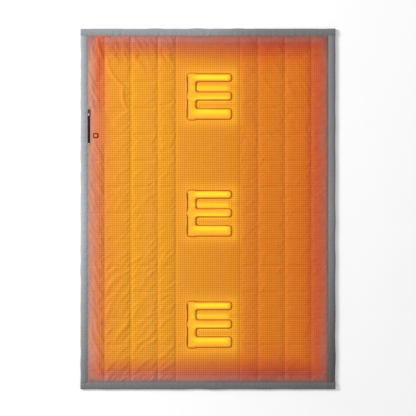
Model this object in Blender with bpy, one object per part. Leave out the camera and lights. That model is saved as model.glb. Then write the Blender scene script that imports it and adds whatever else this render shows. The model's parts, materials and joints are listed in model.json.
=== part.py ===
"""A battery-powered heated blanket that folds in thirds like a letter.

The blanket lies flat with its heated face up. +X runs across it, +Y runs to the head edge and
+Z is up. The origin is the middle of its underside. All sizes are in metres.

It is a sandwich: fleece back, batting, heat-spreading mesh and face cloth, held all round by a
folded binding. The sandwich is built in three sections, head, middle and foot, that meet at the
two fold lines. Each section has one comb-shaped heating pad. The head section also carries the
zipped battery pocket and the power button.
"""

import math

import bmesh
import bpy

# Overall sizes of the blanket, and of the middle section between the two fold lines
WIDTH = 1.400
LENGTH = 1.980
MIDDLE_LENGTH = 0.676

# The gap kept between two pieces that touch on the real blanket
GAP = 0.0003

# Thickness of each layer, from the floor up. The batting between the back and the spreader is as
# thick as the battery in its bag, so that the face lies flat over the pocket.
BACK_THICKNESS = 0.0030
SPREADER_THICKNESS = 0.0006
FACE_THICKNESS = 0.0015
BINDING_THICKNESS = 0.0015

# The binding, a strip folded round the edge
BINDING_WIDTH = 0.040

# The centre panel of the face, and how far the spreader mesh stays inside the sides and the ends
CENTRE_PANEL_WIDTH = 0.352
SPREADER_SIDE_MARGIN = 0.096
SPREADER_END_MARGIN = 0.070

# The comb-shaped heating pad: a spine on the left with three fingers, listed from the head end
# down. PAD_STRAIGHT is the least straight edge left between two corners.
PAD_WIDTH = 0.247
PAD_SPINE = 0.052
PAD_FINGERS = (0.048, 0.051, 0.064)
PAD_SLOTS = (0.051, 0.041)
PAD_CORNER = 0.018
PAD_STRAIGHT = 0.004
SMALLEST_CORNER = 0.0005
PAD_LEFT_OF_CENTRE = 0.114
PAD_COVER_HEIGHT = 0.0051
PAD_COVER_BEVEL = 0.0051
PAD_COVER_SIDE = 0.0020
PAD_COVER_SHOULDER = (0.0013, 0.0041)
PAD_COVER_WALL = 0.0050
PAD_COVER_ROOF = 0.0020
PAD_CARRIER_THICKNESS = 0.0006
ELEMENT_INSET = 0.012
ELEMENT_WIDTH = 0.003
ELEMENT_THICKNESS = 0.0012
ELEMENT_ENDS_APART = 0.003
CORNER_STEPS = 4

# How far the outer pads' centres lie from their fold lines, and the Y of the middle pad's centre
HEAD_PAD_FROM_FOLD = 0.2775
FOOT_PAD_FROM_FOLD = 0.2965
MIDDLE_PAD_Y = -0.0246

# The flat wiring that feeds the pads, and the groove for it in the batting
LEAD_WIDTH = 0.006
LEAD_THICKNESS = 0.0015
LEAD_SIDE_ROOM = 0.002
TRUNK_LEFT_OF_PAD = 0.026
RISER_SIZE = 0.005
RISER_FROM_END = 0.0005

# The zip along the inner edge of the left binding
ZIP_FROM_FOLD = 0.019
ZIP_LENGTH = 0.170
ZIP_WINDOW_WIDTH = 0.015
ZIP_TAPE_THICKNESS = 0.0006
ZIP_TAPE_OVERLAP = 0.008
ZIP_ROW_WIDTH = 0.0020
ZIP_ROW_HEIGHT = 0.0022
ZIP_ROWS_APART = 0.0016
ZIP_STOP_LENGTH = 0.0037
SLIDER_WIDTH = 0.0080
SLIDER_LENGTH = 0.0120
SLIDER_CORNER = 0.0024
SLIDER_BOTTOM_LENGTH = 0.0108
WEDGE_LENGTH = 0.0060
SLIDER_TOP_PLATE = 0.0012
SLIDER_BOTTOM_PLATE = 0.0011
BRIDGE_WIDTH = 0.0020
BRIDGE_LENGTH = 0.0096
BRIDGE_FOOT = 0.0018
BRIDGE_HEIGHT = 0.0034
BRIDGE_BAR = 0.0010
PULL_LENGTH = 0.030
PULL_WIDTH = 0.0110
PULL_THICKNESS = 0.0014
PULL_ARM = 0.0016
PULL_END_CORNER = 0.0044
PULL_PIN_CORNER = 0.0007
PULL_EYE_LENGTH = 0.0065

# The power button, in the pocket's roof. The bore leaves a clearance round the cap, the barrel is
# the bore and its wall, and the flange stands out from the barrel.
BUTTON_FROM_BINDING = 0.045
BUTTON_FROM_ZIP_END = 0.045
BUTTON_CAP_SIZE = (0.0140, 0.0130)
BUTTON_CAP_CORNER = 0.0025
BUTTON_PROUD = 0.0007
BUTTON_TRAVEL = 0.0010
BORE_CLEARANCE = 0.0006
BARREL_WALL = 0.0021
FLANGE_OVERHANG = 0.0043
FLANGE_CORNER = 0.0050
FLANGE_HEIGHT = 0.0020
FLANGE_CHAMFER = 0.0010
LIGHT_RING_WIDTH = 0.0017
LIGHT_RING_DEPTH = 0.0016
BACK_PLATE_THICKNESS = 0.0008
BOARD_THICKNESS = 0.0010
SWITCH_SIZE = 0.006
SWITCH_HEIGHT = 0.0020
PLUNGER_RADIUS = 0.0015
PLUNGER_HEIGHT = 0.0007

# The battery, and the pocket's bag round it
BATTERY_WIDTH = 0.068
BATTERY_LENGTH = 0.140
BATTERY_THICKNESS = 0.0070
BATTERY_WALL = 0.0006
BATTERY_CORNER = 0.006
BATTERY_FROM_BUTTON = 0.0093
CELL_WIDTH = 0.056
CELL_FROM_END = 0.006
CELL_FROM_BOARD = 0.004
BATTERY_BOARD_LENGTH = 0.032
BATTERY_BOARD_THICKNESS = 0.0006
SOCKET_FROM_END = 0.026
SOCKET_DEPTH = 0.0110
SOCKET_WIDTH = 0.0088
SOCKET_WALL = 0.0006
BAG_CLOTH = 0.0006
BAG_FROM_BINDING = 0.002
BAG_PAST_ZIP = 0.005
BAG_PAST_BATTERY_SIDE = 0.006
BAG_PAST_BATTERY_END = 0.010
FEED_FROM_BAG_END = 0.0035
BATTERY_FROM_FEED = 0.0049

# Heights of the layers, worked out from the floor up
BATTING_THICKNESS = BATTERY_THICKNESS + BAG_CLOTH - SPREADER_THICKNESS
BATTING_Z = BACK_THICKNESS + GAP
SPREADER_Z = BATTING_Z + BATTING_THICKNESS + GAP
FACE_Z = SPREADER_Z + SPREADER_THICKNESS + GAP
FACE_TOP = FACE_Z + FACE_THICKNESS
BINDING_TOP = FACE_TOP + GAP + BINDING_THICKNESS
LEAD_Z = SPREADER_Z - 2 * GAP - LEAD_THICKNESS
CARRIER_Z = FACE_Z
PAD_Z = CARRIER_Z + PAD_CARRIER_THICKNESS + GAP
BATTERY_Z = BATTING_Z + BAG_CLOTH + GAP
BATTERY_TOP = BATTERY_Z + BATTERY_THICKNESS
BATTERY_BOARD_Z = BATTERY_Z + BATTERY_WALL + GAP
SOCKET_Z = BATTERY_BOARD_Z + BATTERY_BOARD_THICKNESS + GAP
SOCKET_HEIGHT = BATTERY_TOP - BATTERY_WALL - 2 * GAP - SOCKET_Z

# The power button's outlines, from the cap outwards
BUTTON_BORE = [side + 2 * BORE_CLEARANCE for side in BUTTON_CAP_SIZE]
BUTTON_BARREL = [side + 2 * BARREL_WALL for side in BUTTON_BORE]
BUTTON_FLANGE = [side + 2 * FLANGE_OVERHANG for side in BUTTON_BARREL]

# Places across and along the blanket
SIDE = WIDTH / 2
END = LENGTH / 2
FOLD = MIDDLE_LENGTH / 2
BINDING_INNER = SIDE - BINDING_WIDTH
PAD_LEFT = -PAD_LEFT_OF_CENTRE
PAD_HEIGHT = sum(PAD_FINGERS) + sum(PAD_SLOTS)
TRUNK_X = PAD_LEFT - TRUNK_LEFT_OF_PAD
RISER_X = PAD_LEFT + ELEMENT_INSET + RISER_SIZE / 2
BRANCH_END = RISER_X + RISER_SIZE / 2 + RISER_FROM_END
ZIP_LOW = FOLD + ZIP_FROM_FOLD
ZIP_HIGH = ZIP_LOW + ZIP_LENGTH
ZIP_X = -BINDING_INNER + ZIP_WINDOW_WIDTH / 2
BUTTON_X = -BINDING_INNER + BUTTON_FROM_BINDING
BUTTON_Y = ZIP_LOW + BUTTON_FROM_ZIP_END
BATTERY_LEFT = BUTTON_X + BUTTON_BARREL[0] / 2 + BATTERY_FROM_BUTTON
BATTERY_RIGHT = BATTERY_LEFT + BATTERY_WIDTH
BAG_LEFT = -BINDING_INNER + BAG_FROM_BINDING
BAG_RIGHT = BATTERY_RIGHT + BAG_PAST_BATTERY_SIDE
BAG_LOW = ZIP_LOW - BAG_PAST_ZIP
FEED_Y = BAG_LOW + BAG_CLOTH + FEED_FROM_BAG_END + LEAD_WIDTH / 2
BATTERY_LOW = FEED_Y + LEAD_WIDTH / 2 + BATTERY_FROM_FEED
BATTERY_HIGH = BATTERY_LOW + BATTERY_LENGTH
BAG_HIGH = max(ZIP_HIGH + BAG_PAST_ZIP, BATTERY_HIGH + BAG_PAST_BATTERY_END)
SOCKET_Y = BATTERY_HIGH - SOCKET_FROM_END

PAD_CENTRES = {
    "head": FOLD + HEAD_PAD_FROM_FOLD,
    "middle": MIDDLE_PAD_Y,
    "foot": -FOLD - FOOT_PAD_FROM_FOLD,
}
# Each section's low and high Y, to the middle of the gap at a fold line
SECTIONS = {
    "head": (FOLD + GAP / 2, END),
    "middle": (-FOLD + GAP / 2, FOLD - GAP / 2),
    "foot": (-END, -FOLD - GAP / 2),
}

# Colour (linear RGB), roughness and metallic of each material
FINISHES = {
    "face_cloth": ((0.79, 0.28, 0.03), 0.75, 0.0),
    "binding_cloth": ((0.26, 0.29, 0.31), 0.80, 0.0),
    "back_fleece": ((0.13, 0.14, 0.15), 0.95, 0.0),
    "batting_fibre": ((0.85, 0.85, 0.82), 0.95, 0.0),
    "spreader_mesh": ((0.55, 0.30, 0.12), 0.45, 0.3),
    "pad_cover": ((0.95, 0.66, 0.03), 0.55, 0.0),
    "pad_film": ((0.80, 0.42, 0.08), 0.50, 0.0),
    "carbon_fibre": ((0.03, 0.03, 0.03), 0.40, 0.2),
    "wire_jacket": ((0.05, 0.05, 0.05), 0.50, 0.0),
    "zip_tape": ((0.04, 0.01, 0.01), 0.85, 0.0),
    "zip_metal": ((0.80, 0.78, 0.75), 0.25, 1.0),
    "pull_rubber": ((0.05, 0.015, 0.015), 0.60, 0.0),
    "button_shell": ((0.10, 0.015, 0.01), 0.45, 0.0),
    "button_light": ((0.90, 0.25, 0.03), 0.30, 0.0),
    "circuit_board": ((0.02, 0.16, 0.06), 0.45, 0.0),
    "switch_body": ((0.06, 0.06, 0.06), 0.40, 0.0),
    "bag_cloth": ((0.12, 0.13, 0.14), 0.85, 0.0),
    "battery_shell": ((0.03, 0.03, 0.035), 0.40, 0.0),
    "cell_foil": ((0.62, 0.64, 0.66), 0.30, 0.9),
}


def clear_scene():
    for old in list(bpy.data.objects):
        bpy.data.objects.remove(old, do_unlink=True)


def make_materials():
    for name, (colour, roughness, metallic) in FINISHES.items():
        material = bpy.data.materials.new(name)
        material.use_nodes = True
        shader = material.node_tree.nodes["Principled BSDF"]
        shader.inputs["Base Color"].default_value = (*colour, 1.0)
        shader.inputs["Roughness"].default_value = roughness
        shader.inputs["Metallic"].default_value = metallic


# ---------------------------------------------------------------- shapes


def add_object(name, bm, finish, origin=(0.0, 0.0, 0.0)):
    """Turns a bmesh in blanket coordinates into an object whose own origin is at `origin`."""
    bmesh.ops.recalc_face_normals(bm, faces=bm.faces)
    bmesh.ops.translate(bm, verts=bm.verts, vec=[-value for value in origin])
    mesh = bpy.data.meshes.new(name)
    bm.to_mesh(mesh)
    bm.free()
    obj = bpy.data.objects.new(name, mesh)
    obj.location = origin
    bpy.context.scene.collection.objects.link(obj)
    if finish:
        mesh.materials.append(bpy.data.materials[finish])
    return obj


def add_box(bm, low, high):
    corners = bmesh.ops.create_cube(bm, size=1.0)["verts"]
    size = [b - a for a, b in zip(low, high)]
    middle = [(a + b) / 2 for a, b in zip(low, high)]
    bmesh.ops.scale(bm, verts=corners, vec=size)
    bmesh.ops.translate(bm, verts=corners, vec=middle)


def box(name, low, high, finish, origin=(0.0, 0.0, 0.0)):
    bm = bmesh.new()
    add_box(bm, low, high)
    return add_object(name, bm, finish, origin)


def cut(obj, low, high):
    """Cuts a box-shaped space out of an object."""
    cut_with(obj, box(obj.name + "_cutter", low, high, None))


def cut_with(obj, cutter):
    cutter.hide_render = True
    cutter.display_type = "WIRE"
    boolean = obj.modifiers.new("cut", "BOOLEAN")
    boolean.operation = "DIFFERENCE"
    boolean.solver = "EXACT"
    boolean.object = cutter


def join_with(obj, addition):
    """Joins another object to an object, as one body with it."""
    addition.hide_render = True
    addition.display_type = "WIRE"
    boolean = obj.modifiers.new("join", "BOOLEAN")
    boolean.operation = "UNION"
    boolean.solver = "EXACT"
    boolean.object = addition


def add_loft(bm, rings, closed=False):
    """Joins rings of points, all of one length, into a skin. An open loft gets a cap at each end."""
    loops = [[bm.verts.new(point) for point in ring] for ring in rings]
    count = len(rings[0])
    pairs = list(zip(loops, loops[1:]))
    if closed:
        pairs.append((loops[-1], loops[0]))
    for lower, upper in pairs:
        for i in range(count):
            j = (i + 1) % count
            bm.faces.new((lower[i], lower[j], upper[j], upper[i]))
    if not closed:
        bm.faces.new(loops[0])
        bm.faces.new(loops[-1])


def loft(name, rings, finish, closed=False, origin=(0.0, 0.0, 0.0)):
    bm = bmesh.new()
    add_loft(bm, rings, closed)
    return add_object(name, bm, finish, origin)


def at_height(outline, z):
    return [(x, y, z) for x, y in outline]


def rounded(corners, steps=CORNER_STEPS):
    """An outline through right-angled corners (x, y, radius), each turned into an arc."""
    outline = []
    count = len(corners)
    for i, (x, y, radius) in enumerate(corners):
        before = direction((x, y), corners[i - 1])
        after = direction((x, y), corners[(i + 1) % count])
        for step in range(steps + 1):
            turn = step / steps * math.pi / 2
            out_before = (1 - math.sin(turn)) * radius
            out_after = (1 - math.cos(turn)) * radius
            outline.append(
                (
                    x + before[0] * out_before + after[0] * out_after,
                    y + before[1] * out_before + after[1] * out_after,
                )
            )
    return outline


def direction(start, end):
    length = math.dist(start, end[:2])
    return ((end[0] - start[0]) / length, (end[1] - start[1]) / length)


def rounded_rectangle(centre, size, radius):
    x, y = centre
    half_x, half_y = size[0] / 2, size[1] / 2
    return rounded(
        [
            (x + half_x, y + half_y, radius),
            (x - half_x, y + half_y, radius),
            (x - half_x, y - half_y, radius),
            (x + half_x, y - half_y, radius),
        ]
    )


def comb_outline(centre_y, grow=0.0):
    """The outline of a heating pad, grown outwards by `grow`, clockwise from its top left corner."""
    left = PAD_LEFT - grow
    spine = PAD_LEFT + PAD_SPINE + grow
    right = PAD_LEFT + PAD_WIDTH + grow
    corner = min(PAD_CORNER, (min(PAD_FINGERS + PAD_SLOTS) - PAD_STRAIGHT) / 2)
    outer = max(corner + grow, SMALLEST_CORNER)
    inner = max(corner - grow, SMALLEST_CORNER)
    y = centre_y + PAD_HEIGHT / 2
    corners = [(left, y + grow, outer)]
    for i, finger in enumerate(PAD_FINGERS):
        if i:
            corners.append((spine, y + grow, inner))
        corners.append((right, y + grow, outer))
        y -= finger
        corners.append((right, y - grow, outer))
        if i < len(PAD_SLOTS):
            corners.append((spine, y - grow, inner))
            y -= PAD_SLOTS[i]
    corners.append((left, y - grow, outer))
    return rounded(corners)


# ---------------------------------------------------------------- layers


def back_panel(section):
    low, high = SECTIONS[section]
    inside = BINDING_THICKNESS + GAP
    head_edge = high - inside if section == "head" else high
    foot_edge = low + inside if section == "foot" else low
    side = SIDE - inside
    panel = box(
        "back_panel_" + section,
        (-side, foot_edge, 0.0),
        (side, head_edge, BACK_THICKNESS),
        "back_fleece",
    )
    # The fleece is pressed thin where it lies on the binding's lower lip.
    for sign in (-1, 1):
        lip = sorted((sign * (BINDING_INNER - GAP), sign * (SIDE + inside)))
        cut(panel, (lip[0], low - inside, -inside), (lip[1], high + inside, inside))
    if section == "head":
        cut(panel, (-WIDTH, END - BINDING_WIDTH - GAP, -inside), (WIDTH, END + inside, inside))
    if section == "foot":
        cut(panel, (-WIDTH, -END - inside, -inside), (WIDTH, -END + BINDING_WIDTH + GAP, inside))
    return panel


def lead_outline(section, grow=0.0):
    """The outline of a section's flat lead, grown outwards by `grow`.

    A trunk runs along the left of the pads and a branch goes to this section's pad. In the head
    section, a feed also runs from the trunk into the pocket and up to the power button.
    """
    low, high = SECTIONS[section]
    centre = PAD_CENTRES[section]
    half = LEAD_WIDTH / 2 + grow
    left, right = TRUNK_X - half, TRUNK_X + half
    branch = [(right, centre - half), (BRANCH_END + grow, centre - half)]
    branch += [(BRANCH_END + grow, centre + half)]
    if section == "foot":
        return [(left, centre - half), *branch, (right, centre + half), (right, high), (left, high)]
    if section == "middle":
        return [(left, low), (right, low), *branch, (right, centre + half), (right, high), (left, high)]
    button_low = BUTTON_Y - BUTTON_BARREL[1] / 2 - GAP + grow
    feed = [
        (left, FEED_Y + half),
        (BUTTON_X + half, FEED_Y + half),
        (BUTTON_X + half, button_low),
        (BUTTON_X - half, button_low),
        (BUTTON_X - half, FEED_Y - half),
        (left, FEED_Y - half),
    ]
    return [(left, low), (right, low), *branch, (left, centre + half), *feed]


def batting(section):
    low, high = SECTIONS[section]
    inside = BINDING_THICKNESS + GAP
    side = SIDE - inside
    sheet = box(
        "batting_" + section,
        (-side, low + inside if section == "foot" else low, BATTING_Z),
        (side, high - inside if section == "head" else high, BATTING_Z + BATTING_THICKNESS),
        "batting_fibre",
    )
    groove = lead_outline(section, LEAD_SIDE_ROOM)
    tool = loft(
        "lead_groove_" + section,
        [at_height(groove, LEAD_Z - GAP), at_height(groove, SPREADER_Z)],
        None,
    )
    cut_with(sheet, tool)
    if section == "head":
        cut(
            sheet,
            (BAG_LEFT - GAP, BAG_LOW - GAP, 0.0),
            (BAG_RIGHT + GAP, BAG_HIGH + GAP, FACE_TOP),
        )
    return sheet


def heat_spreader(section):
    """The conductive mesh that carries the pads' heat outwards."""
    low, high = SECTIONS[section]
    side = SIDE - SPREADER_SIDE_MARGIN
    sheet = box(
        "heat_spreader_" + section,
        (-side, low + SPREADER_END_MARGIN if section == "foot" else low, SPREADER_Z),
        (
            side,
            high - SPREADER_END_MARGIN if section == "head" else high,
            SPREADER_Z + SPREADER_THICKNESS,
        ),
        "spreader_mesh",
    )
    cut_riser_hole(sheet, section)
    if section == "head":
        cut(
            sheet,
            (-SIDE, BAG_LOW - GAP, BATTING_Z),
            (BAG_RIGHT + 2 * GAP, BAG_HIGH + GAP, FACE_TOP),
        )
    return sheet


def riser_box(section, grow=0.0):
    """The low and high X and Y of the lead's riser, grown outwards by `grow`."""
    y = PAD_CENTRES[section]
    half = RISER_SIZE / 2 + grow
    return (RISER_X - half, y - half), (RISER_X + half, y + half)


def cut_riser_hole(sheet, section):
    """The hole that a lead's end comes up through, to the heating element."""
    low, high = riser_box(section, GAP)
    cut(sheet, (*low, BATTING_Z), (*high, BINDING_TOP))


def face_panels(section):
    low, high = SECTIONS[section]
    inside = BINDING_THICKNESS + GAP
    foot_edge = low + inside if section == "foot" else low
    head_edge = high - inside if section == "head" else high
    seam = CENTRE_PANEL_WIDTH / 2
    side = SIDE - inside
    spans = {
        "left": (-side, -seam - GAP / 2),
        "centre": (-seam + GAP / 2, seam - GAP / 2),
        "right": (seam + GAP / 2, side),
    }
    panels = {}
    for place, (x0, x1) in spans.items():
        panels[place] = box(
            f"face_{place}_{section}",
            (x0, foot_edge, FACE_Z),
            (x1, head_edge, FACE_TOP),
            "face_cloth",
        )
    outline = comb_outline(PAD_CENTRES[section], GAP)
    window = loft(
        f"pad_window_{section}",
        [at_height(outline, FACE_Z - FACE_THICKNESS), at_height(outline, BINDING_TOP)],
        None,
    )
    cut_with(panels["centre"], window)
    if section == "head":
        cut(
            panels["left"],
            (-BINDING_INNER, ZIP_LOW, BATTING_Z),
            (-BINDING_INNER + ZIP_WINDOW_WIDTH, ZIP_HIGH, BINDING_TOP),
        )
        half_x = BUTTON_BARREL[0] / 2 + GAP
        half_y = BUTTON_BARREL[1] / 2 + GAP
        cut(
            panels["left"],
            (BUTTON_X - half_x, BUTTON_Y - half_y, BATTING_Z),
            (BUTTON_X + half_x, BUTTON_Y + half_y, BINDING_TOP),
        )


def binding_side(place, section):
    """A strip folded round one long side, open towards the blanket."""
    sign = -1 if place == "left" else 1
    low, high = SECTIONS[section]
    foot_edge = low + BINDING_WIDTH + GAP if section == "foot" else low
    head_edge = high - BINDING_WIDTH - GAP if section == "head" else high
    outer, inner = sign * SIDE, sign * BINDING_INNER
    profile = [
        (inner, 0.0),
        (outer, 0.0),
        (outer, BINDING_TOP),
        (inner, BINDING_TOP),
        (inner, BINDING_TOP - BINDING_THICKNESS),
        (outer - sign * BINDING_THICKNESS, BINDING_TOP - BINDING_THICKNESS),
        (outer - sign * BINDING_THICKNESS, BINDING_THICKNESS),
        (inner, BINDING_THICKNESS),
    ]
    rings = [[(x, y, z) for x, z in profile] for y in (foot_edge, head_edge)]
    return loft(f"binding_{place}_{section}", rings, "binding_cloth")


def binding_end(section):
    """The strip folded round the head or foot edge, sewn shut at its two ends."""
    sign = 1 if section == "head" else -1
    inner = sign * (END - BINDING_WIDTH)
    outer = sign * END
    strip = box(
        "binding_" + section,
        (-SIDE, min(inner, outer), 0.0),
        (SIDE, max(inner, outer), BINDING_TOP),
        "binding_cloth",
    )
    wall = outer - sign * BINDING_THICKNESS
    mouth = inner - sign * BINDING_THICKNESS
    cut(
        strip,
        (-SIDE + BINDING_THICKNESS, min(mouth, wall), BINDING_THICKNESS),
        (SIDE - BINDING_THICKNESS, max(mouth, wall), BINDING_TOP - BINDING_THICKNESS),
    )
    return strip


# ---------------------------------------------------------------- heating


def heating_pad(section):
    """The pad's film carrier, its carbon-fibre element and its raised cover."""
    centre = PAD_CENTRES[section]
    carrier_outline = comb_outline(centre)
    carrier = loft(
        "pad_carrier_" + section,
        [
            at_height(carrier_outline, CARRIER_Z),
            at_height(carrier_outline, CARRIER_Z + PAD_CARRIER_THICKNESS),
        ],
        "pad_film",
    )
    cut_riser_hole(carrier, section)
    heating_element(section)

    top = PAD_Z + PAD_COVER_HEIGHT
    shoulder_inset, shoulder_height = PAD_COVER_SHOULDER
    rings = [
        (-PAD_COVER_WALL, top - PAD_COVER_ROOF),
        (-PAD_COVER_WALL, PAD_Z),
        (0.0, PAD_Z),
        (0.0, PAD_Z + PAD_COVER_SIDE),
        (-shoulder_inset, PAD_Z + shoulder_height),
        (-PAD_COVER_BEVEL, top),
    ]
    loft(
        "pad_cover_" + section,
        [at_height(comb_outline(centre, grow), z) for grow, z in rings],
        "pad_cover",
    )


def heating_element(section):
    """A carbon-fibre ribbon that runs round inside the pad, its two ends side by side over the
    riser."""
    centre = PAD_CENTRES[section]
    half_gap = ELEMENT_ENDS_APART / 2
    edges = []
    for inset in (ELEMENT_INSET, ELEMENT_INSET + ELEMENT_WIDTH):
        x = PAD_LEFT + inset
        loop = comb_outline(centre, -inset)
        edges.append([(x, centre + half_gap), *loop, (x, centre - half_gap)])
    outline = edges[0] + edges[1][::-1]
    loft(
        "heating_element_" + section,
        [at_height(outline, PAD_Z), at_height(outline, PAD_Z + ELEMENT_THICKNESS)],
        "carbon_fibre",
    )


def flat_lead(section):
    """The flat two-core lead that feeds a section's pad, with a riser at its end."""
    outline = lead_outline(section)
    lead = loft(
        "flat_lead_" + section,
        [at_height(outline, LEAD_Z), at_height(outline, LEAD_Z + LEAD_THICKNESS)],
        "wire_jacket",
    )
    low, high = riser_box(section)
    root = LEAD_Z + LEAD_THICKNESS / 2
    join_with(lead, box("riser_" + section, (*low, root), (*high, PAD_Z - GAP), None))
    return lead


# ---------------------------------------------------------------- zip


def zip_fastener():
    row_z = FACE_Z - GAP - ZIP_TAPE_THICKNESS
    row_low = ZIP_LOW + ZIP_STOP_LENGTH + GAP
    row_high = ZIP_HIGH - ZIP_STOP_LENGTH - GAP
    inner_edge = ZIP_ROWS_APART / 2
    outer_edge = inner_edge + ZIP_ROW_WIDTH
    tape_edge = ZIP_WINDOW_WIDTH / 2 + ZIP_TAPE_OVERLAP
    for place, sign in (("outer", -1), ("inner", 1)):
        row = sorted((ZIP_X + sign * inner_edge, ZIP_X + sign * outer_edge))
        tape = sorted((ZIP_X + sign * (outer_edge + GAP), ZIP_X + sign * tape_edge))
        box(
            "zip_tape_" + place,
            (tape[0], ZIP_LOW - BAG_PAST_ZIP / 2, row_z),
            (tape[1], ZIP_HIGH + BAG_PAST_ZIP / 2, row_z + ZIP_TAPE_THICKNESS),
            "zip_tape",
        )
        box(
            "zip_teeth_" + place,
            (row[0], row_low, row_z),
            (row[1], row_high, row_z + ZIP_ROW_HEIGHT),
            "zip_tape",
        )
    for name, y0, y1 in (
        ("zip_bottom_stop", ZIP_LOW + GAP, row_low - GAP),
        ("zip_top_stop", row_high + GAP, ZIP_HIGH - GAP),
    ):
        box(
            name,
            (ZIP_X - outer_edge, y0, row_z),
            (ZIP_X + outer_edge, y1, row_z + ZIP_ROW_HEIGHT),
            "zip_metal",
        )
    slider_y = row_high - SLIDER_LENGTH / 2
    zip_slider(slider_y, row_z)
    pull_tab(slider_y, row_z)


def bridge_axis_z(row_z):
    """The height of the pull tab's pin, under the slider's bridge."""
    plate_top = row_z + ZIP_ROW_HEIGHT + GAP + SLIDER_TOP_PLATE
    return plate_top + (BRIDGE_HEIGHT - BRIDGE_BAR) / 2


def zip_slider(y, row_z):
    """Two plates round the rows of teeth, a wedge between the rows, and a bridge that holds the pull tab."""
    half_width = SLIDER_WIDTH / 2
    bottom_top = row_z - GAP
    top_z = row_z + ZIP_ROW_HEIGHT + GAP
    plate_top = top_z + SLIDER_TOP_PLATE
    outline = rounded_rectangle((ZIP_X, y), (SLIDER_WIDTH, SLIDER_LENGTH), SLIDER_CORNER)
    slider = loft(
        "zip_slider",
        [at_height(outline, top_z), at_height(outline, plate_top)],
        "zip_metal",
        origin=(ZIP_X, y, plate_top),
    )
    wedge = ZIP_ROWS_APART / 2 - GAP
    bottom_low = bottom_top - SLIDER_BOTTOM_PLATE
    half_bottom = SLIDER_BOTTOM_LENGTH / 2
    bottom_plate = box(
        "slider_bottom_plate",
        (ZIP_X - half_width, y - half_bottom, bottom_low),
        (ZIP_X + half_width, y + half_bottom, bottom_top),
        None,
    )
    stem = box(
        "slider_wedge",
        (ZIP_X - wedge, y - WEDGE_LENGTH / 2, bottom_low + SLIDER_BOTTOM_PLATE / 2),
        (ZIP_X + wedge, y + WEDGE_LENGTH / 2, top_z + SLIDER_TOP_PLATE / 2),
        None,
    )
    join_with(slider, stem)
    join_with(slider, bottom_plate)
    join_with(slider, slider_bridge(y, plate_top))
    return slider


def slider_bridge(y, plate_top):
    """An arch along the slider, open underneath for the pull tab's pin."""
    low, high = y - BRIDGE_LENGTH / 2, y + BRIDGE_LENGTH / 2
    root = plate_top - SLIDER_TOP_PLATE / 2
    top = plate_top + BRIDGE_HEIGHT
    arch = [
        (low, root),
        (low, top),
        (high, top),
        (high, root),
        (high - BRIDGE_FOOT, root),
        (high - BRIDGE_FOOT, top - BRIDGE_BAR),
        (low + BRIDGE_FOOT, top - BRIDGE_BAR),
        (low + BRIDGE_FOOT, root),
    ]
    half = BRIDGE_WIDTH / 2
    rings = [[(x, across, z) for across, z in arch] for x in (ZIP_X - half, ZIP_X + half)]
    return loft("slider_bridge", rings, None)


def pull_tab(y, row_z):
    """A flat tab with an eye at its end. The bridge stands in the eye, and the tab turns on the
    eye's near bar, which is its pin."""
    axis_z = bridge_axis_z(row_z)
    half_pin = PULL_THICKNESS / 2
    low_y, high_y = y - half_pin, y - half_pin + PULL_LENGTH
    half_width = PULL_WIDTH / 2
    outline = rounded(
        [
            (ZIP_X + half_width, high_y, PULL_END_CORNER),
            (ZIP_X - half_width, high_y, PULL_END_CORNER),
            (ZIP_X - half_width, low_y, PULL_PIN_CORNER),
            (ZIP_X + half_width, low_y, PULL_PIN_CORNER),
        ]
    )
    tab = loft(
        "zip_pull_tab",
        [at_height(outline, axis_z - half_pin), at_height(outline, axis_z + half_pin)],
        "pull_rubber",
        origin=(ZIP_X, y, axis_z),
    )
    eye_half = half_width - PULL_ARM
    cut(
        tab,
        (ZIP_X - eye_half, y + half_pin, axis_z - PULL_THICKNESS),
        (ZIP_X + eye_half, y + half_pin + PULL_EYE_LENGTH, axis_z + PULL_THICKNESS),
    )
    return tab


# ---------------------------------------------------------------- power button


def power_button():
    centre = (BUTTON_X, BUTTON_Y)
    flange_z = FACE_TOP + GAP
    flange_top = flange_z + FLANGE_HEIGHT
    back_z = BATTERY_Z
    board_z = back_z + BACK_PLATE_THICKNESS + GAP
    corner = BUTTON_CAP_CORNER
    ring_outer = [side + 2 * (GAP + LIGHT_RING_WIDTH) for side in BUTTON_CAP_SIZE]
    seat = [side + 2 * GAP for side in ring_outer]
    seat_z = flange_top - LIGHT_RING_DEPTH - GAP
    chamfered = [side - 2 * FLANGE_CHAMFER for side in BUTTON_FLANGE]
    rings = [
        (BUTTON_BORE, corner, board_z),
        (BUTTON_BORE, corner, seat_z),
        (seat, corner, seat_z),
        (seat, corner, flange_top),
        (chamfered, FLANGE_CORNER - FLANGE_CHAMFER, flange_top),
        (BUTTON_FLANGE, FLANGE_CORNER, flange_top - FLANGE_CHAMFER),
        (BUTTON_FLANGE, FLANGE_CORNER, flange_z),
        (BUTTON_BARREL, corner, flange_z),
        (BUTTON_BARREL, corner, board_z),
    ]
    loft(
        "button_bezel",
        [at_height(rounded_rectangle(centre, size, radius), z) for size, radius, z in rings],
        "button_shell",
        closed=True,
    )
    button_light_ring(centre, ring_outer, corner, seat_z + GAP)
    button_cap(centre, corner, board_z, flange_top)
    button_inside(centre, corner, back_z, board_z)


def button_light_ring(centre, outer, corner, z):
    inner = [side + 2 * GAP for side in BUTTON_CAP_SIZE]
    top = z + LIGHT_RING_DEPTH
    rings = [(inner, z), (inner, top), (outer, top), (outer, z)]
    loft(
        "button_light_ring",
        [at_height(rounded_rectangle(centre, size, corner), height) for size, height in rings],
        "button_light",
        closed=True,
    )


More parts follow.
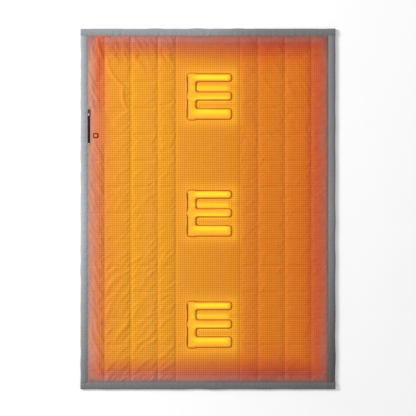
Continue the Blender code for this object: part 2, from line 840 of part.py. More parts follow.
def button_cap(centre, corner, board_z, flange_top):
    plunger_top = board_z + BOARD_THICKNESS + GAP + SWITCH_HEIGHT + PLUNGER_HEIGHT
    bottom = plunger_top + BUTTON_TRAVEL + GAP
    top = flange_top + BUTTON_PROUD
    crown = [side - 2 * BUTTON_PROUD for side in BUTTON_CAP_SIZE]
    rings = [
        (BUTTON_CAP_SIZE, corner, bottom),
        (BUTTON_CAP_SIZE, corner, flange_top),
        (crown, corner - BUTTON_PROUD, top),
    ]
    loft(
        "button_cap",
        [at_height(rounded_rectangle(centre, size, radius), z) for size, radius, z in rings],
        "button_shell",
        origin=(*centre, flange_top),
    )


def button_inside(centre, corner, back_z, board_z):
    """The back plate that closes the barrel, the circuit board in it and the switch under the cap."""
    plate = rounded_rectangle(centre, BUTTON_BARREL, corner)
    loft(
        "button_back_plate",
        [at_height(plate, back_z), at_height(plate, back_z + BACK_PLATE_THICKNESS)],
        "button_shell",
    )
    board = rounded_rectangle(centre, [side - 2 * GAP for side in BUTTON_BORE], corner)
    board_top = board_z + BOARD_THICKNESS
    loft(
        "button_circuit_board",
        [at_height(board, board_z), at_height(board, board_top)],
        "circuit_board",
    )
    half = SWITCH_SIZE / 2
    x, y = centre
    switch = box(
        "button_switch",
        (x - half, y - half, board_top + GAP),
        (x + half, y + half, board_top + GAP + SWITCH_HEIGHT),
        "switch_body",
    )
    bm = bmesh.new()
    plunger_low = board_top + GAP + SWITCH_HEIGHT / 2
    plunger_high = board_top + GAP + SWITCH_HEIGHT + PLUNGER_HEIGHT
    bmesh.ops.create_cone(
        bm,
        cap_ends=True,
        segments=16,
        radius1=PLUNGER_RADIUS,
        radius2=PLUNGER_RADIUS,
        depth=plunger_high - plunger_low,
    )
    bmesh.ops.translate(bm, verts=bm.verts, vec=(x, y, (plunger_low + plunger_high) / 2))
    join_with(switch, add_object("plunger", bm, None))


# ---------------------------------------------------------------- pocket and battery


def pocket_bag():
    """The bag under the zip, open at the top, where the face cloth roofs it."""
    top = BATTING_Z + BATTING_THICKNESS
    bag = box(
        "pocket_bag",
        (BAG_LEFT, BAG_LOW, BATTING_Z),
        (BAG_RIGHT, BAG_HIGH, top),
        "bag_cloth",
    )
    cut(
        bag,
        (BAG_LEFT + BAG_CLOTH, BAG_LOW + BAG_CLOTH, BATTING_Z + BAG_CLOTH),
        (BAG_RIGHT - BAG_CLOTH, BAG_HIGH - BAG_CLOTH, FACE_TOP),
    )
    half = LEAD_WIDTH / 2 + GAP
    cut(
        bag,
        (BAG_RIGHT - 2 * BAG_CLOTH, FEED_Y - half, LEAD_Z - GAP),
        (BAG_RIGHT + BAG_CLOTH, FEED_Y + half, FACE_TOP),
    )
    return bag


def battery_half(name, z0, z1, open_side):
    """One half of the battery's case, a shallow tray open on the side where the halves meet."""
    centre = ((BATTERY_LEFT + BATTERY_RIGHT) / 2, (BATTERY_LOW + BATTERY_HIGH) / 2)
    outer = rounded_rectangle(centre, (BATTERY_WIDTH, BATTERY_LENGTH), BATTERY_CORNER)
    inner_size = (BATTERY_WIDTH - 2 * BATTERY_WALL, BATTERY_LENGTH - 2 * BATTERY_WALL)
    inner = rounded_rectangle(centre, inner_size, BATTERY_CORNER - BATTERY_WALL)
    floor, rim = (z0, z1) if open_side == "top" else (z1, z0)
    inner_floor = floor + BATTERY_WALL if open_side == "top" else floor - BATTERY_WALL
    case = loft(
        name,
        [
            at_height(inner, inner_floor),
            at_height(inner, rim),
            at_height(outer, rim),
            at_height(outer, floor),
        ],
        "battery_shell",
    )
    half_width = SOCKET_WIDTH / 2 + GAP
    cut(
        case,
        (BATTERY_LEFT - BATTERY_WALL, SOCKET_Y - half_width, SOCKET_Z - GAP),
        (BATTERY_LEFT + 2 * BATTERY_WALL, SOCKET_Y + half_width, SOCKET_Z + SOCKET_HEIGHT + GAP),
    )
    return case


def battery():
    split = (BATTERY_Z + BATTERY_TOP) / 2
    battery_half("battery_case_lower", BATTERY_Z, split - GAP / 2, "top")
    battery_half("battery_case_upper", split + GAP / 2, BATTERY_TOP, "bottom")
    middle_x = (BATTERY_LEFT + BATTERY_RIGHT) / 2
    board_high = BATTERY_HIGH - CELL_FROM_END
    board_low = board_high - BATTERY_BOARD_LENGTH
    box(
        "battery_cell",
        (middle_x - CELL_WIDTH / 2, BATTERY_LOW + CELL_FROM_END, BATTERY_BOARD_Z),
        (
            middle_x + CELL_WIDTH / 2,
            board_low - CELL_FROM_BOARD,
            BATTERY_TOP - BATTERY_WALL - GAP,
        ),
        "cell_foil",
    )
    board_left = BATTERY_LEFT + BATTERY_WALL + GAP
    box(
        "battery_circuit_board",
        (board_left, board_low, BATTERY_BOARD_Z),
        (middle_x + CELL_WIDTH / 2, board_high, BATTERY_BOARD_Z + BATTERY_BOARD_THICKNESS),
        "circuit_board",
    )
    mouth = BATTERY_LEFT + BATTERY_WALL / 2
    half_width = SOCKET_WIDTH / 2
    socket = box(
        "battery_socket",
        (mouth, SOCKET_Y - half_width, SOCKET_Z),
        (mouth + SOCKET_DEPTH, SOCKET_Y + half_width, SOCKET_Z + SOCKET_HEIGHT),
        "zip_metal",
    )
    cut(
        socket,
        (mouth - SOCKET_WALL, SOCKET_Y - half_width + SOCKET_WALL, SOCKET_Z + SOCKET_WALL),
        (
            mouth + SOCKET_DEPTH - SOCKET_WALL,
            SOCKET_Y + half_width - SOCKET_WALL,
            SOCKET_Z + SOCKET_HEIGHT - SOCKET_WALL,
        ),
    )


def main():
    clear_scene()
    make_materials()
    for section in SECTIONS:
        back_panel(section)
        batting(section)
        heat_spreader(section)
        face_panels(section)
        binding_side("left", section)
        binding_side("right", section)
        heating_pad(section)
        flat_lead(section)
    binding_end("head")
    binding_end("foot")
    zip_fastener()
    power_button()
    pocket_bag()
    battery()


main()
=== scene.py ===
# %% [markdown]
# # A heated blanket, quilted, bound and wired
#
# This lesson dresses the plain model of a battery-powered heated blanket. The plain model already holds every
# piece at its real size and place, with the folds, the zip and the button as joints. Here each soft piece gets
# the shape of real sewn cloth, and every piece gets a finish worked out from simple rules.

# %% Load the plain model
import math
import time

import bmesh
import bpy
import json
import numpy as np
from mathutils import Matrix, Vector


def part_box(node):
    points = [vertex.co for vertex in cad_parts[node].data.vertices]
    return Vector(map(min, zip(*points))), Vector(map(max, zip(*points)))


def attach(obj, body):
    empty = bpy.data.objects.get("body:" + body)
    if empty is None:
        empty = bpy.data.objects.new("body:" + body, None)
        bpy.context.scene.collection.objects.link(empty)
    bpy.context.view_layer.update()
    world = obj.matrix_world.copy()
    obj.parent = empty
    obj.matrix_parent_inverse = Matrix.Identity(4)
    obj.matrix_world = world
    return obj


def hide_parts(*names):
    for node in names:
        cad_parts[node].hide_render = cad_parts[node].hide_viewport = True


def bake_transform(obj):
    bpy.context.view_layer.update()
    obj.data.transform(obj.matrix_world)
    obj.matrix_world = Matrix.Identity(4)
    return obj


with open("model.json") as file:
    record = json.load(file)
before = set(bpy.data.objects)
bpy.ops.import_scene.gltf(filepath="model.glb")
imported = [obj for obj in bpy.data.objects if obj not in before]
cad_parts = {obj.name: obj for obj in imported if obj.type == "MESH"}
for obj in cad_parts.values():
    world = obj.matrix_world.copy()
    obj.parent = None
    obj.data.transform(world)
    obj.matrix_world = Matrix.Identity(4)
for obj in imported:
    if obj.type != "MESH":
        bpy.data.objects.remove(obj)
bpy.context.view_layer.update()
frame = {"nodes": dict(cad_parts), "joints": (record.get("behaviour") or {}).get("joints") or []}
nodes = frame["nodes"]

# %% [markdown]
# ## Measuring from the plain model
#
# Nothing is placed by eye. The blanket's half width, its fold lines, the heights of its layers and the places
# of the zip, the button and the pads are all read from the plain pieces, so the dressed blanket still fits if
# the plain one changes. The quilting lines are the only new sizes: three channel seams on each side beyond the
# centre panel's own seam, and cross lines at an even pitch that starts from the middle pad's centre.

# %% Places read from the plain pieces
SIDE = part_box("binding_right_middle")[1][0]
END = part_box("binding_head")[1][1]
EDGE_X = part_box("binding_right_middle")[0][0]
EDGE_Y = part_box("binding_head")[0][1]
HEAD_FOLD_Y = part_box("face_left_middle")[1][1]
FOOT_FOLD_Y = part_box("face_left_middle")[0][1]
FACE_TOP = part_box("face_left_middle")[1][2]
BINDING_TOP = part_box("binding_right_middle")[1][2]
ZIP_LOW_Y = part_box("zip_bottom_stop")[0][1]
ZIP_HIGH_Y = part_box("zip_top_stop")[1][1]
ZIP_X = (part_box("zip_slider")[0][0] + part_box("zip_slider")[1][0]) / 2
SECTIONS = ("head", "middle", "foot")
PAD_BOX = {section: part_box("pad_cover_" + section) for section in SECTIONS}
BUTTON_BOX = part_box("button_bezel")
PANEL_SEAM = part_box("face_centre_middle")[1][0]
CHANNEL_SEAMS = (0.275, 0.422, 0.567)
CROSS_PITCH = 0.144
CROSS_START = (PAD_BOX["middle"][0][1] + PAD_BOX["middle"][1][1]) / 2
print(f"half width {SIDE:.3f}, half length {END:.3f}, folds at {FOOT_FOLD_Y:.3f} and {HEAD_FOLD_Y:.3f}")

# %% [markdown]
# ## Where the cloth bends
#
# The blanket folds in thirds like a letter. Each fold is a joint in the plain model. The foot's axis lies just
# above the face, and the head's lies higher, because the head third comes to rest on the folded foot third.
# Real cloth turns in a soft loop there, so every piece of the head and the foot section starts a little inside
# the middle section, and that strip is left for the bend between the two. The middle section's own pieces stop
# where the strip starts.

# %% Bending strips
JOINTS = {joint["name"]: joint for joint in frame["joints"]}
HEAD_AXIS_Z = JOINTS["head_fold"]["pos_m"][2]
FOOT_AXIS_Z = JOINTS["foot_fold"]["pos_m"][2]
BEND_SHARE = 0.65
HEAD_BEND = (HEAD_FOLD_Y - BEND_SHARE * HEAD_AXIS_Z, HEAD_FOLD_Y + BEND_SHARE * HEAD_AXIS_Z)
FOOT_BEND = (FOOT_FOLD_Y + BEND_SHARE * FOOT_AXIS_Z, FOOT_FOLD_Y - BEND_SHARE * FOOT_AXIS_Z)
SPAN = {
    "head": (HEAD_BEND[0], END),
    "middle": (FOOT_BEND[0], HEAD_BEND[0]),
    "foot": (-END, FOOT_BEND[0]),
}


def follow(obj, section):
    """Ties a finished soft piece of the middle section to the middle of the blanket; a head or foot piece stays
    where it lies.
    """
    if section == "middle":
        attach(obj, "middle")
        return
    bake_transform(obj)


print("head bends over", [round(v, 3) for v in HEAD_BEND], "foot over", [round(v, 3) for v in FOOT_BEND])

# %% [markdown]
# ## Writing finishes as sums
#
# A finish is a small network of nodes. Written out node by node it's hard to read, so two helpers turn it into
# plain expressions: `Value` wraps a number that changes over the surface, and adds, subtracts and multiplies
# like an ordinary number, and `Finish.node` makes any other kind of node.


# %% A number that changes over a surface
class Value:
    """A number that changes over a surface. Sums with it add Math nodes to its finish."""

    def __init__(self, finish, socket):
        self.finish = finish
        self.socket = socket

    def math(self, operation, *others):
        return self.finish.value("ShaderNodeMath", {"operation": operation}, [self, *others])

    def __add__(self, other):
        return self.math("ADD", other)

    def __mul__(self, other):
        return self.math("MULTIPLY", other)

    def __sub__(self, other):
        return self.math("SUBTRACT", other)

    def __rsub__(self, other):
        return self.finish.value("ShaderNodeMath", {"operation": "SUBTRACT"}, [other, self])

    def __truediv__(self, other):
        return self.math("DIVIDE", other)

    __radd__ = __add__
    __rmul__ = __mul__

    def clamp(self):
        return self.finish.value("ShaderNodeClamp", {}, [self])

    def between(self, low, high):
        """0 at or below low, 1 at or above high, and smooth between them."""
        settings = {"interpolation_type": "SMOOTHSTEP"}
        return self.finish.value("ShaderNodeMapRange", settings, [self, low, high])


print("a Value can be added, subtracted, multiplied and divided, on either side of a plain number")


# %% One material
class Finish:
    """One material: a Principled shader and the nodes that feed it."""

    def __init__(self, name, **constants):
        self.material = bpy.data.materials.new(name)
        self.material.use_nodes = True
        self.tree = self.material.node_tree
        self.shader = self.tree.nodes["Principled BSDF"]
        for socket, value in constants.items():
            self.shader.inputs[socket.replace("_", " ")].default_value = value

    def connect(self, value, socket):
        if isinstance(value, Value):
            self.tree.links.new(value.socket, socket)
        elif isinstance(value, bpy.types.NodeSocket):
            self.tree.links.new(value, socket)
        elif hasattr(value, "__len__") and socket.type == "RGBA":
            socket.default_value = (*value[:3], 1.0)
        else:
            socket.default_value = value

    def node(self, kind, settings, inputs=()):
        """Adds a node. Inputs are a list in the node's own order, or a dict by socket name or number."""
        node = self.tree.nodes.new(kind)
        for key, value in settings.items():
            if key == "stops":
                ramp = node.color_ramp
                while len(ramp.elements) < len(value):
                    ramp.elements.new(1.0)
                for element, (position, colour) in zip(ramp.elements, value):
                    element.position = position
                    element.color = (*colour, 1.0)
            else:
                setattr(node, key, value)
        pairs = inputs.items() if isinstance(inputs, dict) else enumerate(inputs)
        for key, value in pairs:
            self.connect(value, node.inputs[key])
        return node

    def value(self, kind, settings, inputs=(), output=0):
        return Value(self, self.node(kind, settings, inputs).outputs[output])

    def attribute(self, name):
        """A number that was stored on the mesh's points."""
        return self.value("ShaderNodeAttribute", {"attribute_name": name}, (), "Fac")

    def place(self):
        """Where the point was when the blanket lay flat, in metres, so patterns don't slide when it folds."""
        return self.node("ShaderNodeAttribute", {"attribute_name": "flat_place"}).outputs["Vector"]

    def noise(self, place, scale, detail=2.0, stretch=None, roughness=0.5):
        if stretch is not None:
            place = self.node("ShaderNodeMapping", {}, {"Vector": place, "Scale": stretch}).outputs[0]
        inputs = {"Vector": place, "Scale": scale, "Detail": detail, "Roughness": roughness}
        return self.value("ShaderNodeTexNoise", {}, inputs, 0)

    def mix(self, factor, first, second, blend="MIX"):
        settings = {"data_type": "RGBA", "blend_type": blend}
        node = self.node("ShaderNodeMix", settings, {0: factor, 6: first, 7: second})
        return node.outputs[2]

    def ramp(self, factor, stops, interpolation="LINEAR"):
        node = self.node("ShaderNodeValToRGB", {"stops": stops}, [factor])
        node.color_ramp.interpolation = interpolation
        return node.outputs[0]

    def bump(self, height, distance, strength=1.0):
        inputs = {"Strength": strength, "Distance": distance, "Height": height}
        self.connect(self.node("ShaderNodeBump", {}, inputs).outputs[0], self.shader.inputs["Normal"])

    def set(self, socket, value):
        self.connect(value, self.shader.inputs[socket])


def screen_colour(red, green, blue):
    """A colour given as it looks on a screen, 0 to 255, as the light values that shaders use."""
    parts = [part / 255 for part in (red, green, blue)]
    return tuple(p / 12.92 if p <= 0.04045 else ((p + 0.055) / 1.055) ** 2.4 for p in parts)


print(f"middle grey on a screen is {screen_colour(128, 128, 128)[0]:.3f} as light")


# %% [markdown]
# ## The lie of the cloth
#
# Quilted cloth puffs up between its seams and dips to a narrow valley along each one. The height of the face is
# therefore worked out from the distance to the nearest seam: steep beside it, and nearly flat a few centimetres
# away. The centre panel has no channels, so it lies calm and flat. The cross lines are lighter quilting, so
# they only press a shallow line into the side panels.


# %% Distances to seams
def distance_to_lines(values, lines):
    return np.min(np.abs(values[..., None] - np.array(lines)), axis=-1)


SEAMS = [sign * x for sign in (-1, 1) for x in (PANEL_SEAM, *CHANNEL_SEAMS, EDGE_X)]
CROSS_LINES = [
    CROSS_START + k * CROSS_PITCH
    for k in range(-8, 9)
    if abs(CROSS_START + k * CROSS_PITCH) < EDGE_Y - 0.03
]
SEAM_Z = FACE_TOP - 0.0017
TUCK_Z = SEAM_Z - 0.0012
PUFF = 0.0027
CENTRE_PUFF = 0.0022
VALLEY = 0.009
CROSS_DEPTH, CROSS_WIDTH = 0.0012, 0.0035
print(len(SEAMS), "seams and", len(CROSS_LINES), "cross lines")


def smooth_step(value, low, high):
    t = np.clip((value - low) / (high - low), 0.0, 1.0)
    return t * t * (3 - 2 * t)


def box_distance(x, y, low, high):
    """How far points lie outside a rectangle; 0 inside it."""
    dx = np.maximum(np.maximum(low[0] - x, x - high[0]), 0)
    dy = np.maximum(np.maximum(low[1] - y, y - high[1]), 0)
    return np.hypot(dx, dy)


# %% [markdown]
# ## The pads' comb shape
#
# Each pad is a comb: a spine on the left and three fingers. The plain model gives its box, and the fingers and
# gaps are measured along it from the head end. Both the pads and the glow round them on the face need to know
# how far a point lies from the comb, so that distance is worked out once, as the distance to the nearest of the
# four bars that the comb is made of.

# %% The comb as four bars
SPINE = 0.052
FINGERS = (0.048, 0.051, 0.064)
SLOTS = (0.051, 0.041)
PAD_CORNER = 0.018


def comb_bars(section):
    (left, low, _), (right, high, _) = PAD_BOX[section]
    bars = [((left, low), (left + SPINE, high))]
    top = high
    for finger, slot in zip(FINGERS, (*SLOTS, 0.0)):
        bars.append(((left, top - finger), (right, top)))
        top -= finger + slot
    return bars


def comb_distance(x, y, section):
    return np.min([box_distance(x, y, low, high) for low, high in comb_bars(section)], axis=0)


print(f"spine {1000 * SPINE:.0f} mm wide, fingers", [round(1000 * finger) for finger in FINGERS], "mm")


# %% The comb's outline as a distance
def rounded_bar(x, y, low, high, radius):
    half_x, half_y = (high[0] - low[0]) / 2, (high[1] - low[1]) / 2
    radius = min(radius, half_x, half_y)
    dx = np.abs(x - (low[0] + high[0]) / 2) - half_x + radius
    dy = np.abs(y - (low[1] + high[1]) / 2) - half_y + radius
    return np.hypot(np.maximum(dx, 0), np.maximum(dy, 0)) + np.minimum(np.maximum(dx, dy), 0) - radius


def comb_outline(x, y, section, fillet=0.016):
    """Below 0 inside the comb's rounded outline. The spine and the fingers meet in a fillet."""
    spine, *fingers = comb_bars(section)
    total = rounded_bar(x, y, *spine, PAD_CORNER)
    bars = np.min([rounded_bar(x, y, *finger, PAD_CORNER) for finger in fingers], axis=0)
    blend = np.maximum(fillet - np.abs(total - bars), 0) / fillet
    return np.minimum(total, bars) - blend**2 * fillet / 4


finger_middle = np.array([[(a + b) / 2] for a, b in zip(*comb_bars("middle")[2])])
print(f"the middle finger's centre is {-1000 * comb_outline(*finger_middle, 'middle')[0]:.1f} mm from its edge")


# %% [markdown]
# ## Creases
#
# Soft cloth on a thick filling is never quite smooth. Its creases are short ridges with tapered ends that lean
# the way the cloth was pulled. They lean one way in the outermost left channel, the other way lower down on the
# left, fan out from the top left corner, and are few on the right. Each crease is placed by a seeded random
# generator inside its own patch of cloth, so the blanket comes out the same each time.


# %% Creases
def scatter_creases(rng, count, low, high, lean, spread, length, width, height):
    """Random creases in a patch, as (x, y, direction, half length, width, height)."""
    creases = []
    for _ in range(count):
        x = rng.uniform(low[0], high[0])
        y = rng.uniform(low[1], high[1])
        angle = math.radians(rng.normal(lean, spread))
        size = rng.uniform(0.6, 1.4)
        creases.append((x, y, angle, size * length / 2, width * size**0.5, height * rng.uniform(0.3, 1.2)))
    return creases


CREASE_LIMIT = 0.0036


def crease_heights(x, y, creases):
    total = np.zeros_like(x)
    for cx, cy, angle, half, width, height in creases:
        near = (np.abs(x - cx) < half + 3 * width) & (np.abs(y - cy) < half + 3 * width)
        if not near.any():
            continue
        dx, dy = x[near] - cx, y[near] - cy
        along = dx * math.cos(angle) + dy * math.sin(angle)
        across = -dx * math.sin(angle) + dy * math.cos(angle) + 0.25 * along**2 / max(half, 0.01)
        taper = np.clip(1 - (along / half) ** 2, 0, 1) ** 1.5
        total[near] += height * taper * np.exp(-((across / width) ** 2))
    return CREASE_LIMIT * np.tanh(total / CREASE_LIMIT)


rng = np.random.default_rng(7)
CREASES = [
    *scatter_creases(rng, 90, (-0.655, -0.90), (-0.575, 0.34), 116, 7, 0.12, 0.007, 0.0024),
    *scatter_creases(rng, 30, (-0.655, 0.55), (-0.60, 0.93), 104, 8, 0.12, 0.007, 0.0020),
    *scatter_creases(rng, 120, (-0.56, -0.94), (-0.19, -0.25), 46, 7, 0.14, 0.010, 0.0016),
    *scatter_creases(rng, 26, (-0.56, -0.935), (-0.19, -0.90), 40, 8, 0.07, 0.006, 0.0020),
    *scatter_creases(rng, 70, (-0.56, -0.25), (-0.19, 0.60), 52, 16, 0.10, 0.009, 0.0009),
    *scatter_creases(rng, 50, (-0.56, 0.78), (-0.20, 0.94), -56, 9, 0.11, 0.008, 0.0024),
    *scatter_creases(rng, 50, (0.19, 0.35), (0.62, 0.92), 125, 14, 0.11, 0.009, 0.0011),
    *scatter_creases(rng, 50, (0.19, -0.92), (0.62, 0.35), 60, 22, 0.09, 0.009, 0.0008),
    *scatter_creases(rng, 10, (-0.17, -0.93), (0.17, 0.93), 30, 40, 0.12, 0.014, 0.0004),
]
# One long curved fold from the top left corner, and the hollow beside it
CREASES += [
    (-0.588, 0.855, math.radians(112), 0.090, 0.009, 0.0042),
    (-0.518, 0.728, math.radians(125), 0.115, 0.009, 0.0044),
    (-0.466, 0.610, math.radians(98), 0.085, 0.009, 0.0036),
    (-0.590, 0.660, math.radians(93), 0.260, 0.018, -0.0030),
]
print(len(CREASES), "creases")


# %% The height of the face before it settles
def drawn_height(x, y):
    seam = distance_to_lines(x, SEAMS)
    end = EDGE_Y - np.abs(y)
    seam = np.minimum(seam, np.abs(end))
    puff = 1 - np.exp(-seam / VALLEY)
    centre = np.abs(x) < PANEL_SEAM
    height = SEAM_Z + np.where(centre, CENTRE_PUFF, PUFF) * puff
    cross = distance_to_lines(y, CROSS_LINES)
    height -= np.where(centre, 0.0, CROSS_DEPTH) * np.exp(-((cross / CROSS_WIDTH) ** 2)) * puff
    height += crease_heights(x, y, CREASES) * smooth_step(seam, 0.0, 0.02)
    tucked = smooth_step(np.maximum(np.abs(x) - EDGE_X, np.abs(y) - EDGE_Y), -0.0015, 0.0020)
    height = height * (1 - tucked) + TUCK_Z * tucked
    return settle(x, y, height)


# How far from a piece the cloth is held, and how far away it's free again
PAD_HOLD, BATTERY_HOLD = (0.004, 0.030), (0.001, 0.022)
BUTTON_HOLD, ZIP_HOLD = (0.001, 0.018), (0.0, 0.018)
OVER_BATTERY = 0.0018
ZIP_LOW = (-EDGE_X - 0.02, ZIP_LOW_Y - 0.006)
ZIP_HIGH = (ZIP_X + 0.012, ZIP_HIGH_Y + 0.022)


def settle(x, y, height):
    """The cloth is held flat round the pads, the button and the zip, and held up over the battery."""
    for section in SECTIONS:
        near = smooth_step(comb_distance(x, y, section), *PAD_HOLD)
        height = height * near + (FACE_TOP - 0.0002) * (1 - near)
    low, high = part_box("battery_case_upper")
    lifted = np.maximum(height, high[2] + OVER_BATTERY)
    near = smooth_step(box_distance(x, y, low, high), *BATTERY_HOLD)
    height = height * near + lifted * (1 - near)
    near = smooth_step(box_distance(x, y, *BUTTON_BOX), *BUTTON_HOLD)
    height = height * near + FACE_TOP * (1 - near)
    near = smooth_step(box_distance(x, y, ZIP_LOW, ZIP_HIGH), *ZIP_HOLD)
    under_binding = smooth_step(-EDGE_X - x, -0.0015, 0.0020)
    level = FACE_TOP * (1 - under_binding) + TUCK_Z * under_binding
    return height * near + level * (1 - near)


drawn = drawn_height(*np.meshgrid(np.linspace(0.3, 0.4, 40), np.linspace(-0.5, 0.5, 200)))
print(f"one channel is drawn from {1000 * drawn.min():.1f} to {1000 * drawn.max():.1f} mm high")


# %% [markdown]
# ## Letting the cloth settle
#
# Rules alone give a relief that looks stamped. Real cloth is cut slightly too large for its quilting, so it
# bulges where the filling pushes and buckles where it's too wide. A cloth simulation works that out: a coarse
# sheet with the drawn relief is held along every seam, made 0.4 percent too large, and blown up from below with
# gravity off. Only what it changes is kept, as a relief that is added to the drawn one, and it's capped so that
# the blanket stays as thick as it should be. The cross lines hold it too, but less firmly than the seams.


# %% Grids
def spread_lines(stops, step):
    """Lines through every stop, evenly spaced between two stops and at most a step apart."""
    stops = sorted(set(round(float(stop), 6) for stop in stops))
    lines = []
    for low, high in zip(stops, stops[1:]):
        count = max(1, math.ceil((high - low) / step - 1e-6))
        lines.extend(np.linspace(low, high, count, endpoint=False))
    return np.array([*lines, stops[-1]])


def new_object(name, points, faces, smooth=True):
    mesh = bpy.data.meshes.new(name)
    mesh.from_pydata([tuple(p) for p in points], [], [tuple(f) for f in faces])
    mesh.update()
    if smooth:
        mesh.shade_smooth()
        mesh.set_sharp_from_angle(angle=math.radians(50))
    obj = bpy.data.objects.new(name, mesh)
    bpy.context.scene.collection.objects.link(obj)
    return obj


def grid_quads(number, cell):
    """The four corners of every kept cell of a grid whose points are numbered."""
    i, j = np.nonzero(cell)
    return np.stack([number[i, j], number[i + 1, j], number[i + 1, j + 1], number[i, j + 1]], axis=1)


print("lines through 0 and 10 mm, at most 4 mm apart:", (1000 * spread_lines([0, 0.010], 0.004)).round(1))


# %% Cloth simulation
def how_firmly_held(x, y):
    """1 where the cloth is sewn or stuck down, less along the cross lines, 0 where it's free."""
    seam = np.minimum(distance_to_lines(x, SEAMS), EDGE_Y - np.abs(y))
    held = (seam < 0.0015).astype(float)
    cross = distance_to_lines(y, CROSS_LINES) < 0.0015
    held = np.maximum(held, 0.25 * (cross & (np.abs(x) > PANEL_SEAM)))
    for section in SECTIONS:
        held = np.maximum(held, comb_distance(x, y, section) < 0.006)
    held = np.maximum(held, 0.5 * (np.abs(x) < PANEL_SEAM))
    held = np.maximum(held, box_distance(x, y, *BUTTON_BOX) < 0.004)
    return np.maximum(held, box_distance(x, y, *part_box("pocket_bag")) < 0.002)


def simulate_relief(step=0.0075, frames=18, extra=0.004, pressure=0.4, highest=0.0016, lowest=0.0012):
    xs = spread_lines([*SEAMS, 0.0], step)
    ys = spread_lines([-EDGE_Y, EDGE_Y, *CROSS_LINES], step)
    x, y = np.meshgrid(xs, ys, indexing="ij")
    relief = np.zeros_like(x)
    z = drawn_height(x, y)
    number = np.arange(x.size).reshape(x.shape)
    quads = grid_quads(number, np.ones((len(xs) - 1, len(ys) - 1), bool))
    obj = new_object("settling", np.stack([x, y, z], axis=-1).reshape(-1, 3), quads)
    group = obj.vertex_groups.new(name="held")
    held = how_firmly_held(x, y).ravel()
    for weight in np.unique(held[held > 0]):
        group.add(np.nonzero(held == weight)[0].tolist(), float(weight), "REPLACE")
    cloth = obj.modifiers.new("cloth", "CLOTH").settings
    cloth.quality, cloth.mass, cloth.air_damping = 4, 0.15, 4.0
    cloth.tension_stiffness = cloth.compression_stiffness = 12.0
    cloth.shear_stiffness, cloth.bending_stiffness = 4.0, 0.02
    cloth.vertex_group_mass = "held"
    cloth.shrink_min = cloth.shrink_max = -extra
    cloth.use_pressure, cloth.uniform_pressure_force = True, pressure
    cloth.effector_weights.gravity = 0.0
    scene = bpy.context.scene
    scene.frame_start, scene.frame_end = 1, frames
    for frame_number in range(1, frames + 1):
        scene.frame_set(frame_number)
    settled = obj.evaluated_get(bpy.context.evaluated_depsgraph_get()).to_mesh()
    places = np.zeros(x.size * 3, np.float32)
    settled.vertices.foreach_get("co", places)
    change = places.reshape(-1, 3)[:, 2].reshape(x.shape) - z
    relief = np.where(change > 0, highest * np.tanh(change / highest), lowest * np.tanh(change / lowest))
    scene.frame_set(1)
    bpy.data.objects.remove(obj)
    return xs, ys, relief


clock = time.time()
RELIEF_X, RELIEF_Y, RELIEF = simulate_relief()
print(f"cloth settled in {time.time() - clock:.0f} s: {RELIEF.size} points,", end=" ")
print(f"from {1000 * RELIEF.min():.1f} to {1000 * RELIEF.max():.1f} mm, mean {1000 * RELIEF.mean():.2f}")


# %% The settled height
def sample_relief(x, y):
    """The relief between the grid's points, by a smooth cubic curve in each direction."""
    parts = []
    for values, lines in ((x, RELIEF_X), (y, RELIEF_Y)):
        spot = np.interp(values, lines, np.arange(len(lines)))
        first = np.clip(spot.astype(int), 0, len(lines) - 2)
        t = spot - first
        weights = (
            -0.5 * t + t**2 - 0.5 * t**3,
            1 - 2.5 * t**2 + 1.5 * t**3,
            0.5 * t + 2 * t**2 - 1.5 * t**3,
            -0.5 * t**2 + 0.5 * t**3,
        )
        parts.append([(np.clip(first + k - 1, 0, len(lines) - 1), weight) for k, weight in enumerate(weights)])
    total = np.zeros_like(x)
    for row, row_weight in parts[0]:
        for column, column_weight in parts[1]:
            total += RELIEF[row, column] * row_weight * column_weight
    return total


def face_height(x, y):
    return drawn_height(x, y) + sample_relief(x, y)


settled = face_height(*np.meshgrid(np.linspace(0.3, 0.4, 40), np.linspace(-0.5, 0.5, 200)))
print(f"the same channel has settled from {1000 * settled.min():.1f} to {1000 * settled.max():.1f} mm high")


# %% [markdown]
# ## Sheets of cloth as grids
#
# A sheet is a grid of points with a thickness. The grid's lines fall exactly on the seams, so that each valley
# stays sharp, and they lie closer together where the cloth bends at a fold. Every point also stores its place
# on the flat blanket, which the finishes use.


# %% Sheets
def store_place(mesh, places, **numbers):
    mesh.attributes.new("flat_place", "FLOAT_VECTOR", "POINT").data.foreach_set(
        "vector", np.asarray(places, np.float32).ravel()
    )
    for name, values in numbers.items():
        mesh.attributes.new(name, "FLOAT", "POINT").data.foreach_set(
            "value", np.asarray(values, np.float32).ravel()
        )


